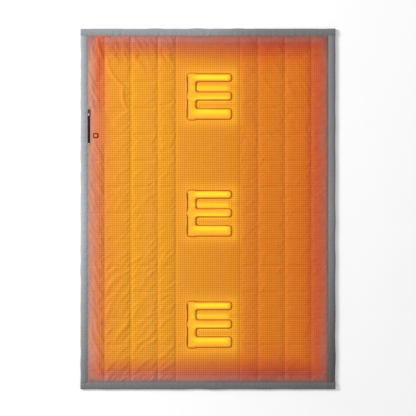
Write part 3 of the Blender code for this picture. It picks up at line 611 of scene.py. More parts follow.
def cloth_sheet(name, x_lines, y_lines, top, thickness, keep=None, numbers=None):
    """A closed sheet: an upper and a lower skin over a grid, joined round every edge. `top` gives the upper
    skin's height, `thickness` a number or a function, and `keep` says which cells have cloth."""
    x, y = np.meshgrid(x_lines, y_lines, indexing="ij")
    z = top(x, y)
    depth = thickness(x, y) if callable(thickness) else thickness
    rows, columns = x.shape
    number = np.arange(rows * columns).reshape(rows, columns)
    cell = np.ones((rows - 1, columns - 1), bool)
    if keep is not None:
        mid_x = (x[1:, 1:] + x[:-1, :-1]) / 2
        mid_y = (y[1:, 1:] + y[:-1, :-1]) / 2
        cell = keep(mid_x, mid_y)
    quads = grid_quads(number, cell)
    edges = np.concatenate([quads[:, [k, (k + 1) % 4]] for k in range(4)])
    backward = {(b, a) for a, b in edges.tolist()}
    rim = np.array([edge for edge in edges.tolist() if tuple(edge) not in backward])
    count = rows * columns
    walls = np.stack([rim[:, 0], rim[:, 0] + count, rim[:, 1] + count, rim[:, 1]], axis=1)
    faces = np.concatenate([quads, quads[:, ::-1] + count, walls])
    upper = np.stack([x, y, z], axis=-1).reshape(-1, 3)
    lower = np.stack([x, y, z - depth], axis=-1).reshape(-1, 3)
    points = np.concatenate([upper, lower])
    used = np.unique(faces)
    renumber = np.zeros(len(points), int)
    renumber[used] = np.arange(len(used))
    obj = new_object(name, points[used], renumber[faces])
    flat = points[used]
    stored = {}
    for key, rule in (numbers or {}).items():
        stored[key] = rule(flat[:, 0], flat[:, 1])
    store_place(obj.data, flat, **stored)
    return obj


FINE = 0.0040
SAME_LINE = 0.00001
X_STOPS = [-EDGE_X - 0.008, EDGE_X + 0.008, *SEAMS]
ZIP_WINDOW = ((-EDGE_X, ZIP_LOW_Y), (2 * ZIP_X + EDGE_X, ZIP_HIGH_Y))
print("grid step", FINE)


def with_bend_lines(lines, section, count):
    """The lines outside a section's bending strip, and evenly spaced ones across it. A line that all but
    meets the strip's end is dropped, since two lines in one place would leave slivers."""
    bend_low, bend_high = sorted(HEAD_BEND if section == "head" else FOOT_BEND)
    outside = [y for y in lines if not bend_low - SAME_LINE <= y <= bend_high + SAME_LINE]
    return np.array(sorted([*outside, *np.linspace(bend_low, bend_high, count)]))


def y_lines_of(section, step, margin=0.008, more=()):
    low, high = SPAN[section]
    low, high = max(low, -EDGE_Y - margin), min(high, EDGE_Y + margin)
    stops = [low, high, *[y for y in CROSS_LINES if low < y < high]]
    stops += [y for y in (ZIP_LOW_Y, ZIP_HIGH_Y, -EDGE_Y, EDGE_Y, *more) if low < y < high]
    lines = spread_lines(stops, step)
    return lines if section == "middle" else with_bend_lines(lines, section, 17)


# %% [markdown]
# ## Three face panels in three sections
#
# The face is sewn from a left, a centre and a right panel. Each is one sheet in each section. The left one has
# a window for the zip and an opening for the button, and the centre one has openings below the pads. The
# warmth that the face shows is also worked out here, for its finish: how far a point lies from the bound edge,
# how near it is to a heating pad, and whether it lies in one of the brightest streaks.


# %% Openings in the face
PAD_LAP = 0.006


def keep_out_of_zip(x, y):
    (x0, y0), (x1, y1) = ZIP_WINDOW
    return ~((x > x0) & (x < x1) & (y > y0) & (y < y1))


def keep_out_of_pads(x, y):
    """The face is cut away below the pads and round the button's barrel, so those sit in real openings."""
    kept = keep_out_of_zip(x, y)
    for section in SECTIONS:
        kept &= comb_outline(x, y, section) > -PAD_LAP
    return kept & ~inside_button(x, y)


def inside_button(x, y, half=(0.0112, 0.0107)):
    (x0, y0, _), (x1, y1, _) = BUTTON_BOX
    return (np.abs(x - (x0 + x1) / 2) < half[0]) & (np.abs(y - (y0 + y1) / 2) < half[1])


print(f"the face reaches {1000 * PAD_LAP:.0f} mm under each pad")


# %% Where the face is warm
def edge_distance(x, y):
    """How far inside the binding a point lies, with rounded corners."""
    dx, dy = EDGE_X - np.abs(x), EDGE_Y - np.abs(y)
    corner = 0.06
    both = (dx < corner) & (dy < corner)
    rounded = corner - np.hypot(corner - np.minimum(dx, corner), corner - np.minimum(dy, corner))
    return np.where(both, rounded, np.minimum(dx, dy))


def pad_nearness(x, y):
    distance = np.min([comb_distance(x, y, section) for section in SECTIONS], axis=0)
    return np.exp(-((distance / 0.038) ** 2))


STREAKS = ((0.105, 0.014, 1.0), (0.046, 0.013, 1.0), (-0.013, 0.015, 0.85), (-0.083, 0.016, 0.85))


def pad_streaks(x, y):
    """Painted highlight and glow in four bright streaks: along the top of each finger, and in the upper gap
    between two.
    """
    total = np.zeros_like(x)
    for section in SECTIONS:
        (left, low, _), (right, high, _) = PAD_BOX[section]
        middle = (low + high) / 2
        along = smooth_step(x, left + 0.004, left + 0.075) * (1 - smooth_step(x, right - 0.040, right - 0.004))
        for place, width, strength in STREAKS:
            streak = strength * along * np.exp(-(((y - middle - place) / width) ** 2))
            total = np.maximum(total, streak)
    return total


FACE_NUMBERS = {"edge_distance": edge_distance, "pad_nearness": pad_nearness, "streaks": pad_streaks}
print("each face point stores", ", ".join(FACE_NUMBERS))

# %% Face panels
FACE_THICKNESS = 0.0012
PANELS = {
    "left": (-EDGE_X - 0.008, -PANEL_SEAM),
    "centre": (-PANEL_SEAM, PANEL_SEAM),
    "right": (PANEL_SEAM, EDGE_X + 0.008),
}
faces = {}
for section in SECTIONS:
    for panel, (x0, x1) in PANELS.items():
        stops = [x0, x1, *[x for x in X_STOPS if x0 < x < x1]]
        if panel == "left":
            stops.append(ZIP_WINDOW[1][0])
        sheet = cloth_sheet(
            f"face_cloth_{panel}_{section}",
            spread_lines(stops, FINE),
            y_lines_of(section, FINE),
            face_height,
            FACE_THICKNESS,
            keep_out_of_pads,
            FACE_NUMBERS,
        )
        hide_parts(f"face_{panel}_{section}")
        faces[panel, section] = sheet
print("face:", sum(len(sheet.data.polygons) for sheet in faces.values()), "faces")


# %% [markdown]
# ## The fleece back and the filling
#
# The back is fleece, flat where it lies on the bed and drawn up a little at each seam. The filling between the
# two cloths follows both of them at a small distance, so it never shows through. It's a much coarser grid,
# since it's hidden, and it has an opening where the battery's pocket lies.


# %% The back's relief
def back_height(x, y):
    seam = np.minimum(distance_to_lines(x, SEAMS), np.abs(EDGE_Y - np.abs(y)))
    lift = 0.0026 * np.exp(-seam / 0.008)
    cross = distance_to_lines(y, CROSS_LINES)
    lift += np.where(np.abs(x) > PANEL_SEAM, 0.0010, 0.0) * np.exp(-((cross / 0.0045) ** 2))
    return lift


BACK_THICKNESS = 0.0018


def back_top(x, y):
    return back_height(x, y) + BACK_THICKNESS


print(f"the back is drawn up by at most {1000 * back_height(*np.array([[SEAMS[0]], [0.0]])).max():.1f} mm")

# %% The filling's relief
FILLING_BELOW_FACE = 0.0020
LOW_STEP = 0.004
LOW_X = np.arange(-EDGE_X - 0.02, EDGE_X + 0.02, LOW_STEP)
LOW_Y = np.arange(-EDGE_Y - 0.02, EDGE_Y + 0.02, LOW_STEP)
LOWEST = face_height(*np.meshgrid(LOW_X, LOW_Y, indexing="ij"))
for axis in (0, 1):
    shifted = [np.roll(LOWEST, k, axis) for k in range(-4, 5)]
    LOWEST = np.min(shifted, axis=0)


def filling_top(x, y):
    """A little below the lowest point of the face for 16 mm around."""
    i = np.clip(np.rint((x - LOW_X[0]) / LOW_STEP).astype(int), 0, len(LOW_X) - 1)
    j = np.clip(np.rint((y - LOW_Y[0]) / LOW_STEP).astype(int), 0, len(LOW_Y) - 1)
    return LOWEST[i, j] - FILLING_BELOW_FACE


def filling_depth(x, y):
    return np.maximum(filling_top(x, y) - back_top(x, y) - 0.0008, 0.0010)


BAG_LOW, BAG_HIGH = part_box("pocket_bag")
HOLLOW = [BAG_LOW[0] - 0.001, BAG_HIGH[0] + 0.001, BAG_LOW[1] - 0.001, BAG_HIGH[1] + 0.001]


def outside_pocket(x, y):
    x0, x1, y0, y1 = HOLLOW
    return ~((x > x0) & (x < x1) & (y > y0) & (y < y1))


print(f"the filling's top lies between {1000 * (LOWEST.min() - FILLING_BELOW_FACE):.1f} and", end=" ")
print(f"{1000 * (LOWEST.max() - FILLING_BELOW_FACE):.1f} mm")

# %% Back and filling
BACK_STEP, FILLING_STEP = 0.008, 0.016
backs, fillings = {}, {}
for section in SECTIONS:
    back = cloth_sheet(
        "back_fleece_" + section,
        spread_lines(X_STOPS, BACK_STEP),
        y_lines_of(section, BACK_STEP),
        back_top,
        BACK_THICKNESS,
    )
    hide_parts("back_panel_" + section)
    backs[section] = back
    filling = cloth_sheet(
        "filling_" + section,
        spread_lines([-EDGE_X - 0.004, EDGE_X + 0.004, *SEAMS, *HOLLOW[:2]], FILLING_STEP),
        y_lines_of(section, FILLING_STEP, 0.004, HOLLOW[2:]),
        filling_top,
        filling_depth,
        outside_pocket,
    )
    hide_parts("batting_" + section, "heat_spreader_" + section)
    fillings[section] = filling
print("back:", sum(len(sheet.data.polygons) for sheet in backs.values()), "faces")


# %% [markdown]
# ## The binding
#
# The binding is a strip of cloth folded round the raw edge and sewn down through all layers. In section it is a
# flattened loop, puffed where the filling is thick, rounded at the outer edge and pressed thin at its inner
# edge, where the stitching runs. Sewing draws it into small puckers, and its outer edge wanders a little.


# %% The binding's section
BINDING_SKIN = 0.0012
TAPE_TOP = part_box("zip_tape_outer")[1][2]


def binding_profile():
    """Points (across, height) of the outer skin from the upper inner edge round to the lower inner edge.
    Across is 0 at the inner edge and 1 at the outer edge; height is 0 at the bottom and 1 at the top."""
    upper = [(0.0, 0.80), (0.03, 0.84), (0.07, 0.83), (0.12, 0.87), (0.22, 0.95), (0.36, 1.0), (0.52, 1.0)]
    upper += [(0.68, 0.97), (0.81, 0.90), (0.90, 0.80), (0.96, 0.67), (0.993, 0.52)]
    lower = [(0.995, 0.38), (0.975, 0.24), (0.93, 0.12), (0.85, 0.04), (0.70, 0.0), (0.50, 0.0), (0.25, 0.0)]
    lower += [(0.10, 0.01), (0.04, 0.02), (0.0, 0.02)]
    return np.array(upper + lower)


def wander(s, seed, wave):
    """A smooth wandering number between about -1 and 1."""
    r = np.random.default_rng(seed)
    total = np.zeros_like(s)
    for _ in range(5):
        size = r.uniform(0.5, 1.0)
        length = wave * r.uniform(0.6, 1.9)
        total += size * np.sin(2 * math.pi * s / length + r.uniform(0, 6.3))
    return total / 2.6


print("the binding's section has", len(binding_profile()), "points on each side of its skin")


# %% One strip
def binding_strip(name, inner, outer, along, place_of, seed, ends=(False, False), over_zip=False):
    """A folded strip along `along`, from `inner` to `outer` across. `place_of` turns (across, along, height)
    into a place in space. `ends` says which ends are rounded shut, `over_zip` that it covers the zip's tape."""
    profile = binding_profile()
    step = np.diff(profile, axis=0, prepend=profile[:1])
    step[0] = step[1]
    width = abs(outer - inner)
    points, flat = [], []
    for index, s in enumerate(along):
        s_array = np.array([s])
        pucker = 0.00035 * wander(s_array, seed, 0.011)[0] + 0.0004 * wander(s_array, seed + 1, 0.030)[0]
        swell = 1 + 0.045 * wander(s_array, seed + 2, 0.14)[0]
        edge = 0.0012 * wander(s_array, seed + 3, 0.17)[0] - 0.0008
        squeeze = 1.0
        for end, shut in zip((along[0], along[-1]), ends):
            if shut:
                t = min(1.0, abs(s - end) / 0.006)
                squeeze = min(squeeze, 0.17 + 0.83 * math.sqrt(1 - (1 - t) ** 2))
        ring = []
        for skin in (0.0, BINDING_SKIN):
            normal = np.stack([-step[:, 1] * BINDING_TOP, step[:, 0] * width], axis=1)
            normal /= np.linalg.norm(normal, axis=1)[:, None]
            across = profile[:, 0] * (width + edge)
            height = profile[:, 1] * BINDING_TOP * 0.985
            upper = profile[:, 1] > 0.5
            inner_side = np.exp(-((across - 0.006) / 0.010) ** 2)
            height = height + np.where(upper, pucker * (0.4 + 1.4 * inner_side), 0.0)
            middle = 0.45 * BINDING_TOP
            height = np.where(upper, middle + (height - middle) * swell, height)
            if over_zip and ZIP_LOW_Y - 0.006 < s < ZIP_HIGH_Y + 0.006:
                height = np.where(upper & (across < 0.012), np.maximum(height, TAPE_TOP + 0.0007), height)
            height = middle + (height - middle) * squeeze
            across = across + normal[:, 0] * -skin
            height = np.maximum(height + normal[:, 1] * -skin, 0.0001)
            ring.append(np.stack([across, height], axis=1))
        loop = np.concatenate([ring[0], ring[1][::-1]])
        sign = 1 if outer > inner else -1
        for across, height in loop:
            spot = place_of(inner + sign * across, s, height)
            points.append(spot)
            flat.append(spot)
    size = 2 * len(profile)
    faces = []
    for k in range(len(along) - 1):
        a, b = k * size, (k + 1) * size
        for m in range(size):
            n = (m + 1) % size
            faces.append((a + m, b + m, b + n, a + n))
    half = len(profile)
    for k, flip in ((0, False), (len(along) - 1, True)):
        base = k * size
        for m in range(half - 1):
            quad = (base + m, base + m + 1, base + size - 2 - m, base + size - 1 - m)
            faces.append(quad[::-1] if flip else quad)
    obj = new_object(name, points, faces)
    bm = bmesh.new()
    bm.from_mesh(obj.data)
    bmesh.ops.recalc_face_normals(bm, faces=bm.faces)
    bm.to_mesh(obj.data)
    bm.free()
    flat = np.array(flat)
    # Painted light: each point stores how pale its grey is painted, paler towards the lamp.
    store_place(obj.data, flat, paleness=binding_painted_lightness(flat[:, 0], flat[:, 1]))
    return obj


print(f"a strip is {1000 * (SIDE - EDGE_X):.0f} mm wide and {1000 * BINDING_TOP:.1f} mm high")


# %% How much painted light each strip gets
def binding_painted_lightness(x, y):
    """How pale the grey is painted, 0 to 1: painted light and shade, paler on the left and towards the head,
    where the lamp is, and darker on the right.
    """
    along_x = [-0.70, -0.30, 0.0, 0.30, 0.70]
    along_y = [-0.95, -0.80, -0.40, 0.0, 0.30, 0.95]
    left = np.interp(y, along_y, [0.47, 0.52, 0.62, 0.69, 0.65, 0.63])
    right = np.interp(y, along_y, [0.31, 0.33, 0.45, 0.52, 0.50, 0.50])
    head = np.interp(x, along_x, [0.58, 0.59, 0.58, 0.48, 0.44])
    foot = np.interp(x, along_x, [0.46, 0.44, 0.42, 0.41, 0.37])
    sides = np.where(x < 0, left, right)
    return np.where(y > EDGE_Y, head, np.where(y < -EDGE_Y, foot, sides))


print("paleness at the middle of the left side:", binding_painted_lightness(np.array(-SIDE), np.array(0.0)))

# %% The eight strips
bindings = {}
for section in SECTIONS:
    low, high = SPAN[section]
    low, high = max(low, -EDGE_Y + 0.0003), min(high, EDGE_Y - 0.0003)
    lines = spread_lines([low, high], 0.0030)
    if section != "middle":
        lines = with_bend_lines(lines, section, 25)
    for side, sign in (("left", -1), ("right", 1)):
        strip = binding_strip(
            f"binding_strip_{side}_{section}",
            sign * EDGE_X,
            sign * SIDE,
            lines,
            lambda across, s, height: (across, s, height),
            10 + sign,
            over_zip=(side, section) == ("left", "head"),
        )
        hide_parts(f"binding_{side}_{section}")
        bindings[side, section] = strip
# An end strip's lines lie closer together towards its two rounded ends
ROUNDING = 0.006 * (1 - np.cos(np.linspace(0, math.pi / 2, 7)[:-1]))
OUTERMOST = SIDE - 0.0002
END_LINES = np.concatenate(
    [-OUTERMOST + ROUNDING, spread_lines([-SIDE + 0.0062, SIDE - 0.0062], 0.0030), OUTERMOST - ROUNDING[::-1]]
)
for section, sign in (("head", 1), ("foot", -1)):
    strip = binding_strip(
        "binding_strip_" + section,
        sign * EDGE_Y,
        sign * END,
        END_LINES,
        lambda across, s, height: (s, across, height),
        20 + sign,
        ends=(True, True),
    )
    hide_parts("binding_" + section)
    bindings["end", section] = strip
print("binding:", sum(len(strip.data.polygons) for strip in bindings.values()), "faces")

# %% [markdown]
# ## The heating pads' covers
#
# Each pad is a comb of soft, rounded tubes with a narrow flat flange sewn down all round. The cover starts as a
# grid whose edge points are drawn onto the comb's rounded outline. Its height then rises from the flange in a
# quarter circle and crowns gently along the middle of every bar. Two numbers go with it for the finish: how
# deep inside the outline a point lies, and how much the flange is shaded along the spine.


# %% How the cover rises
COVER_TOP = PAD_BOX["middle"][1][2]
FLANGE = 0.0042
FLANGE_HEIGHT = 0.0010
COVER_SKIN = 0.0009
print(f"pad covers rise {1000 * (COVER_TOP - FACE_TOP):.1f} mm above the face")


def cover_height(depth):
    """Height of the cover over the face, from how deep inside the outline a point lies."""
    flange = FLANGE_HEIGHT * (1 - np.exp(-np.maximum(depth, 0) / 0.0006))
    rise = np.clip((depth - FLANGE) / 0.0100, 0, 1)
    tube = np.sqrt(1 - (1 - rise) ** 2)
    crown = 0.80 + 0.20 * smooth_step(depth, 0.006, 0.024)
    stitched = 0.0006 * np.exp(-(((depth - FLANGE * 0.62) / 0.0008) ** 2))
    return flange - stitched + (COVER_TOP - FACE_TOP - FLANGE_HEIGHT) * tube * crown


# %% A cover as a grid fitted to the outline
def pad_cover(section, step=0.0022):
    (left, low, _), (right, high, _) = PAD_BOX[section]
    margin = 0.003
    xs = spread_lines([left - margin, right + margin], step)
    ys = spread_lines([low - margin, high + margin], step)
    x, y = np.meshgrid(xs, ys, indexing="ij")
    outline = comb_outline(x, y, section)
    inside = outline < 0
    cell = inside[1:, 1:] | inside[:-1, 1:] | inside[1:, :-1] | inside[:-1, :-1]
    for _ in range(4):
        outline = comb_outline(x, y, section)
        nudge = 1e-5
        gx = (comb_outline(x + nudge, y, section) - comb_outline(x - nudge, y, section)) / (2 * nudge)
        gy = (comb_outline(x, y + nudge, section) - comb_outline(x, y - nudge, section)) / (2 * nudge)
        outside = outline > 0
        x = np.where(outside, x - gx * outline, x)
        y = np.where(outside, y - gy * outline, y)
    depth = np.maximum(-comb_outline(x, y, section), 0)
    rows, columns = x.shape
    number = np.arange(rows * columns).reshape(rows, columns)
    quads = grid_quads(number, cell)
    used = np.unique(quads)
    renumber = np.zeros(rows * columns, int)
    renumber[used] = np.arange(len(used))
    points = np.stack([x, y, FACE_TOP + cover_height(depth)], axis=-1).reshape(-1, 3)[used]
    return points, renumber[quads], depth.reshape(-1)[used]


print(f"the flange is {1000 * FLANGE:.1f} mm wide")


# %% The three covers
def spine_shade(x, y):
    """1 along the outer edge of each spine, where the flange tucks under, but not beside the middle finger."""
    shade = np.zeros_like(x)
    for section in SECTIONS:
        (left, low, _), (_, high, _) = PAD_BOX[section]
        beside = np.exp(-(((y - (low + high) / 2) / 0.017) ** 2))
        inside = smooth_step(y, low + 0.006, low + 0.020) * (1 - smooth_step(y, high - 0.020, high - 0.006))
        shade = np.maximum(shade, (1 - smooth_step(x, left + 0.005, left + 0.0085)) * (1 - beside) * inside)
    return shade


def close_sheet(name, points, quads, lower):
    """A closed piece from an upper skin and the places of its lower skin."""
    edges = np.concatenate([quads[:, [k, (k + 1) % 4]] for k in range(4)]).tolist()
    backward = {(b, a) for a, b in edges}
    rim = np.array([edge for edge in edges if tuple(edge) not in backward])
    count = len(points)
    walls = np.stack([rim[:, 0], rim[:, 0] + count, rim[:, 1] + count, rim[:, 1]], axis=1)
    return new_object(
        name, np.concatenate([points, lower]), np.concatenate([quads, quads[:, ::-1] + count, walls])
    )


pads = {}
for section in SECTIONS:
    points, quads, depth = pad_cover(section)
    lower = points.copy()
    lower[:, 2] = np.maximum(points[:, 2] - COVER_SKIN, FACE_TOP + 0.00005)
    pad = close_sheet("pad_cover_sewn_" + section, points, quads, lower)
    both = np.concatenate([points, lower])
    shades = {"streaks": pad_streaks(*both[:, :2].T), "spine_shade": spine_shade(*both[:, :2].T)}
    store_place(pad.data, both, depth=np.tile(depth, 2), **shades)
    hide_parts("pad_cover_" + section)
    pads[section] = pad
print("pad covers:", sum(len(pad.data.polygons) for pad in pads.values()), "faces")

# %% [markdown]
# ## Stitches
#
# A seam is a row of short, slightly raised stitches with a dip between them. Each stitch here is a small
# spindle of thread with square rings, laid along the seam, so it catches the light from any side. The rows run
# along the binding's inner edge, along each channel seam and along both sides of each panel seam.


# %% One row of stitches
def stitch_row(points, pitch=0.0042, length=0.0030, thickness=0.00036):
    """Spindles along a path of points. Returns their points and faces."""
    points = np.asarray(points, float)
    gaps = np.linalg.norm(np.diff(points, axis=0), axis=1)
    distance = np.concatenate([[0], np.cumsum(gaps)])
    centres = np.arange(pitch / 2, distance[-1], pitch)

    def at(s):
        return np.stack([np.interp(s, distance, points[:, k]) for k in range(3)], axis=1)

    middle, ahead, behind = at(centres), at(centres + length / 2), at(centres - length / 2)
    along = ahead - behind
    along /= np.maximum(np.linalg.norm(along, axis=1)[:, None], 1e-9)
    side = np.cross(along, [0, 0, 1])
    up = np.cross(side, along)
    rings = []
    for place, size in ((-0.5, 0.0), (-0.3, 0.9), (0.0, 1.15), (0.3, 0.9), (0.5, 0.0)):
        centre = middle + along * (place * length) - up * (thickness * 0.5 * abs(place) * 2)
        if size == 0.0:
            rings.append([centre])
            continue
        corners = ((1, 0), (0, 1), (-1, 0), (0, -1))
        rings.append([centre + (side * a + up * b) * thickness * size for a, b in corners])
    stack = [corner for ring in rings for corner in ring]
    shape = np.stack(stack, axis=1).reshape(-1, 3)
    one = []
    for k in range(4):
        n = (k + 1) % 4
        one += [(0, 1 + n, 1 + k, 1 + k), (13, 9 + k, 9 + n, 9 + n)]
        one += [(1 + k, 1 + n, 5 + n, 5 + k), (5 + k, 5 + n, 9 + n, 9 + k)]
    faces = (np.array(one)[None] + 14 * np.arange(len(centres))[:, None, None]).reshape(-1, 4)
    return shape, faces


print("faces in one stitch:", len(stitch_row([(0, 0, 0), (0.0042, 0, 0)])[1]))


# %% The stitch rows
def join_rows(name, rows):
    points, faces, start = [], [], 0
    for shape, quads in rows:
        points.append(shape)
        faces += [tuple(dict.fromkeys(int(v) + start for v in quad)) for quad in quads]
        start += len(shape)
    points = np.concatenate(points)
    obj = new_object(name, points, faces)
    store_place(obj.data, points)
    return obj


def run_in_section(section, margin=0.0):
    low, high = SPAN[section]
    return max(low, -EDGE_Y + margin), min(high, EDGE_Y - margin)


BINDING_STITCH = 0.0035
BINDING_STITCH_Z = BINDING_TOP * 0.838
STITCH_STEP = 0.004
thread_pieces = []
for section in SECTIONS:
    low, high = run_in_section(section)
    y = np.arange(low, high, STITCH_STEP)
    rows, edge_rows = [], []
    for x in [*SEAMS[:-1], *[s * (PANEL_SEAM + 0.0062) for s in (-1, 1)]]:
        if abs(abs(x) - EDGE_X) < 0.001:
            continue
        path = np.stack([np.full_like(y, x), y, face_height(np.full_like(y, x), y) + 0.00015], axis=1)
        rows.append(stitch_row(path))
    for sign in (-1, 1):
        x = np.full_like(y, sign * (EDGE_X + BINDING_STITCH))
        edge_rows.append(stitch_row(np.stack([x, y, np.full_like(y, BINDING_STITCH_Z)], axis=1)))
    if section != "middle":
        end = EDGE_Y if section == "head" else -EDGE_Y
        x = np.arange(-EDGE_X, EDGE_X, STITCH_STEP)
        y_end = end + math.copysign(BINDING_STITCH, end)
        path = np.stack([x, np.full_like(x, y_end), np.full_like(x, BINDING_STITCH_Z)], axis=1)
        edge_rows.append(stitch_row(path))
    thread_pieces.append((join_rows("seam_thread_" + section, rows), section, "face"))
    thread_pieces.append((join_rows("binding_thread_" + section, edge_rows), section, "binding"))
print("stitches:", sum(len(obj.data.vertices) for obj, _, _ in thread_pieces) // 14)

# %% [markdown]
# ## The zip
#
# The pocket's zip has two woven tapes, two rows of moulded teeth that mesh, a slider and a pull tab. The plain
# tapes and teeth are only bars, so they are made anew: tapes with a raised cord along the teeth, and teeth one
# by one, each a small nose that reaches past the middle into the gap opposite.

# %% Teeth
TOOTH_PITCH = 0.0020
TEETH_LOW, TEETH_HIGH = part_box("zip_teeth_outer")[0][1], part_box("zip_teeth_outer")[1][1]
TEETH_Z = [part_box("zip_teeth_outer")[k][2] for k in (0, 1)]


def bevelled_block(low, high, bevel):
    """Points and faces of a small block with its upper edges bevelled."""
    (x0, y0, z0), (x1, y1, z1) = low, high
    b = bevel
    points = [(x0, y0, z0), (x1, y0, z0), (x1, y1, z0), (x0, y1, z0)]
    points += [(x0, y0, z1 - b), (x1, y0, z1 - b), (x1, y1, z1 - b), (x0, y1, z1 - b)]
    points += [(x0 + b, y0 + b, z1), (x1 - b, y0 + b, z1), (x1 - b, y1 - b, z1), (x0 + b, y1 - b, z1)]
    faces = [(3, 2, 1, 0), (8, 9, 10, 11)]
    for k in range(4):
        n = (k + 1) % 4
        faces += [(k, n, n + 4, k + 4), (k + 4, n + 4, n + 8, k + 8)]
    return points, faces


def zip_teeth(name, side, offset):
    points, faces = [], []
    y = TEETH_LOW + offset
    while y + TOOTH_PITCH * 0.5 < TEETH_HIGH:
        near, far = ZIP_X + side * 0.0028, ZIP_X - side * 0.0001
        waist = ZIP_X + side * 0.0012
        for (xa, xb), half in (((near, waist), 0.00032), ((waist, far), 0.00046)):
            low = (min(xa, xb), y - half + TOOTH_PITCH / 4, TEETH_Z[0])
            high = (max(xa, xb), y + half + TOOTH_PITCH / 4, TEETH_Z[1])
            block, quads = bevelled_block(low, high, 0.00022)
            faces += [tuple(v + len(points) for v in quad) for quad in quads]
            points += block
        y += TOOTH_PITCH
    obj = new_object(name, points, faces, smooth=False)
    store_place(obj.data, points)
    return obj


print(f"teeth every {1000 * TOOTH_PITCH:.0f} mm from {TEETH_LOW:.3f} to {TEETH_HIGH:.3f}")


# %% Tapes, and both halves of the zip
def zip_tape(name, node, cord_x):
    (x0, y0, z0), (x1, y1, z1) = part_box(node)
    xs, ys = spread_lines([x0, x1], 0.0006), spread_lines([y0, y1], 0.004)

    def top(x, y):
        cord = 0.0007 * np.exp(-(((x - cord_x) / 0.0007) ** 2))
        return z1 - 0.0001 + cord + 0.00005 * np.sin(2 * math.pi * y / 0.013)

    return cloth_sheet(name, xs, ys, top, z1 - z0)


for side, tag in ((-1, "outer"), (1, "inner")):
    teeth = zip_teeth("zip_moulded_teeth_" + tag, side, 0.0 if side < 0 else TOOTH_PITCH / 2)
    tape = zip_tape("zip_woven_tape_" + tag, "zip_tape_" + tag, ZIP_X + side * 0.0038)
    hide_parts("zip_teeth_" + tag)
    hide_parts("zip_tape_" + tag)
    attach(teeth, "head")
    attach(tape, "head")

# %% [markdown]
# ## The battery pocket
#
# The pocket is a flat bag behind the zip that holds the battery. Its cloth follows the battery's block with
# slack at the sides, and it has an opening for the button's barrel. It lies hidden inside the filling, but it
# can be seen when the model is taken apart, so it's a sewn shape too.

# %% Battery pocket
battery_low, battery_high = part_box("battery_case_lower")[0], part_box("battery_case_upper")[1]
BAG_SKIN = 0.0006


def bag_surface(x, y, flat, full):
    """The bag's skin, at `full` over the battery and easing down to `flat` at the bag's edge."""
    away = box_distance(x, y, battery_low, battery_high)
    rim = np.minimum.reduce([x - BAG_LOW[0], BAG_HIGH[0] - x, y - BAG_LOW[1], BAG_HIGH[1] - y])
    share = np.exp(-away / 0.020) * smooth_step(rim, 0.0, 0.012)
    return flat + (full - flat) * share


def bag_top(x, y):
    return bag_surface(x, y, 0.0074, BAG_HIGH[2] - 0.0002) + 0.0001 * np.sin(x * 210 + y * 90)


bag = cloth_sheet(
    "pocket_sewn_bag",
    spread_lines([BAG_LOW[0] + 0.001, BAG_HIGH[0] - 0.001], 0.005),
    spread_lines([BAG_LOW[1] + 0.001, BAG_HIGH[1] - 0.001], 0.005),
    bag_top,
    BAG_SKIN,
    lambda x, y: ~inside_button(x, y, (0.017, 0.016)),
)
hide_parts("pocket_bag")
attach(bag, "head")
print("pocket:", len(bag.data.polygons), "faces")

# %% [markdown]
# ## Fixing the pieces to the sections
#
# Every soft piece is final now. The centre sections ride on the middle of the blanket. The head and foot cloth
# sheets, side strips and stitches stay flat where they lie. The pads lie well away from both folds and ride on
# one section each.


SHEET_SIZES = {}
for (panel, section), sheet in faces.items():
    low, high = SPAN[section]
    x0, x1 = PANELS[panel]
    flat = (x1 - x0, min(high, EDGE_Y + 0.008) - max(low, -EDGE_Y - 0.008))
    follow(sheet, section)
    SHEET_SIZES[sheet.name] = flat
for section in SECTIONS:
    low, high = SPAN[section]
    flat = (2 * EDGE_X + 0.016, min(high, EDGE_Y + 0.008) - max(low, -EDGE_Y - 0.008))
    follow(backs[section], section)
    SHEET_SIZES[backs[section].name] = flat
    follow(fillings[section], section)
    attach(pads[section], section)
BINDING_CUT = 2 * (SIDE - EDGE_X) + BINDING_TOP
for (side, section), strip in bindings.items():
    if side == "end":
        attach(strip, section)
        length = 2 * SIDE
    else:
        length = min(SPAN[section][1], EDGE_Y) - max(SPAN[section][0], -EDGE_Y)
        follow(strip, section)
    SHEET_SIZES[strip.name] = (BINDING_CUT, length)
for thread, section, _ in thread_pieces:
    follow(thread, section)
for name, (width, length) in SHEET_SIZES.items():
    print(f"{name}: cut {width:.3f} by {length:.3f} m")

# %% [markdown]
# ## Face cloth
#
# The face is a thin, tightly woven cloth that glows from the warmth below: amber on the left and over the
# pads, deeper and darker orange on the right, red and then dusky pink by the binding. So its colour follows two
# distances, to the bound edge and to the pads, plus a slow change from side to side that is partly a deeper
# glow and partly painted shade, darker away from the lamp on the left. A square mesh of heat-spreading threads
# shows through it as darker lines, which fade out in the bright streaks of painted glow. The weave itself is
# far finer and only feeds the bump.


# %% Weave and mesh
MESH_PITCH = 0.01165
FACE_WEAVE_PITCH = 0.0016


def cloth_weave(finish, place, pitch):
    """A plain weave as a height: threads over and under each other in both directions."""
    parts = finish.node("ShaderNodeSeparateXYZ", {}, [place])
    x, y = Value(finish, parts.outputs[0]), Value(finish, parts.outputs[1])
    turn = 2 * math.pi / pitch
    return (x * turn).math("SINE") * (y * turn).math("SINE")


def mesh_lines(finish, place, pitch):
    """How near a point is to the threads of a square mesh: 1 where two cross, 0 in the middle of a hole."""
    parts = finish.node("ShaderNodeSeparateXYZ", {}, [place])
    lines = 0.0
    for k in (0, 1):
        along = Value(finish, parts.outputs[k]) / pitch
        lines = (along.math("FRACT") - 0.5).math("ABSOLUTE").between(0.0, 0.5) * 0.5 + lines
    return lines


MESH_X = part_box("heat_spreader_middle")[1][0]
MESH_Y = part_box("heat_spreader_head")[1][1]
print(f"the mesh has a thread every {1000 * MESH_PITCH:.2f} mm within {MESH_X:.3f} by {MESH_Y:.3f}")
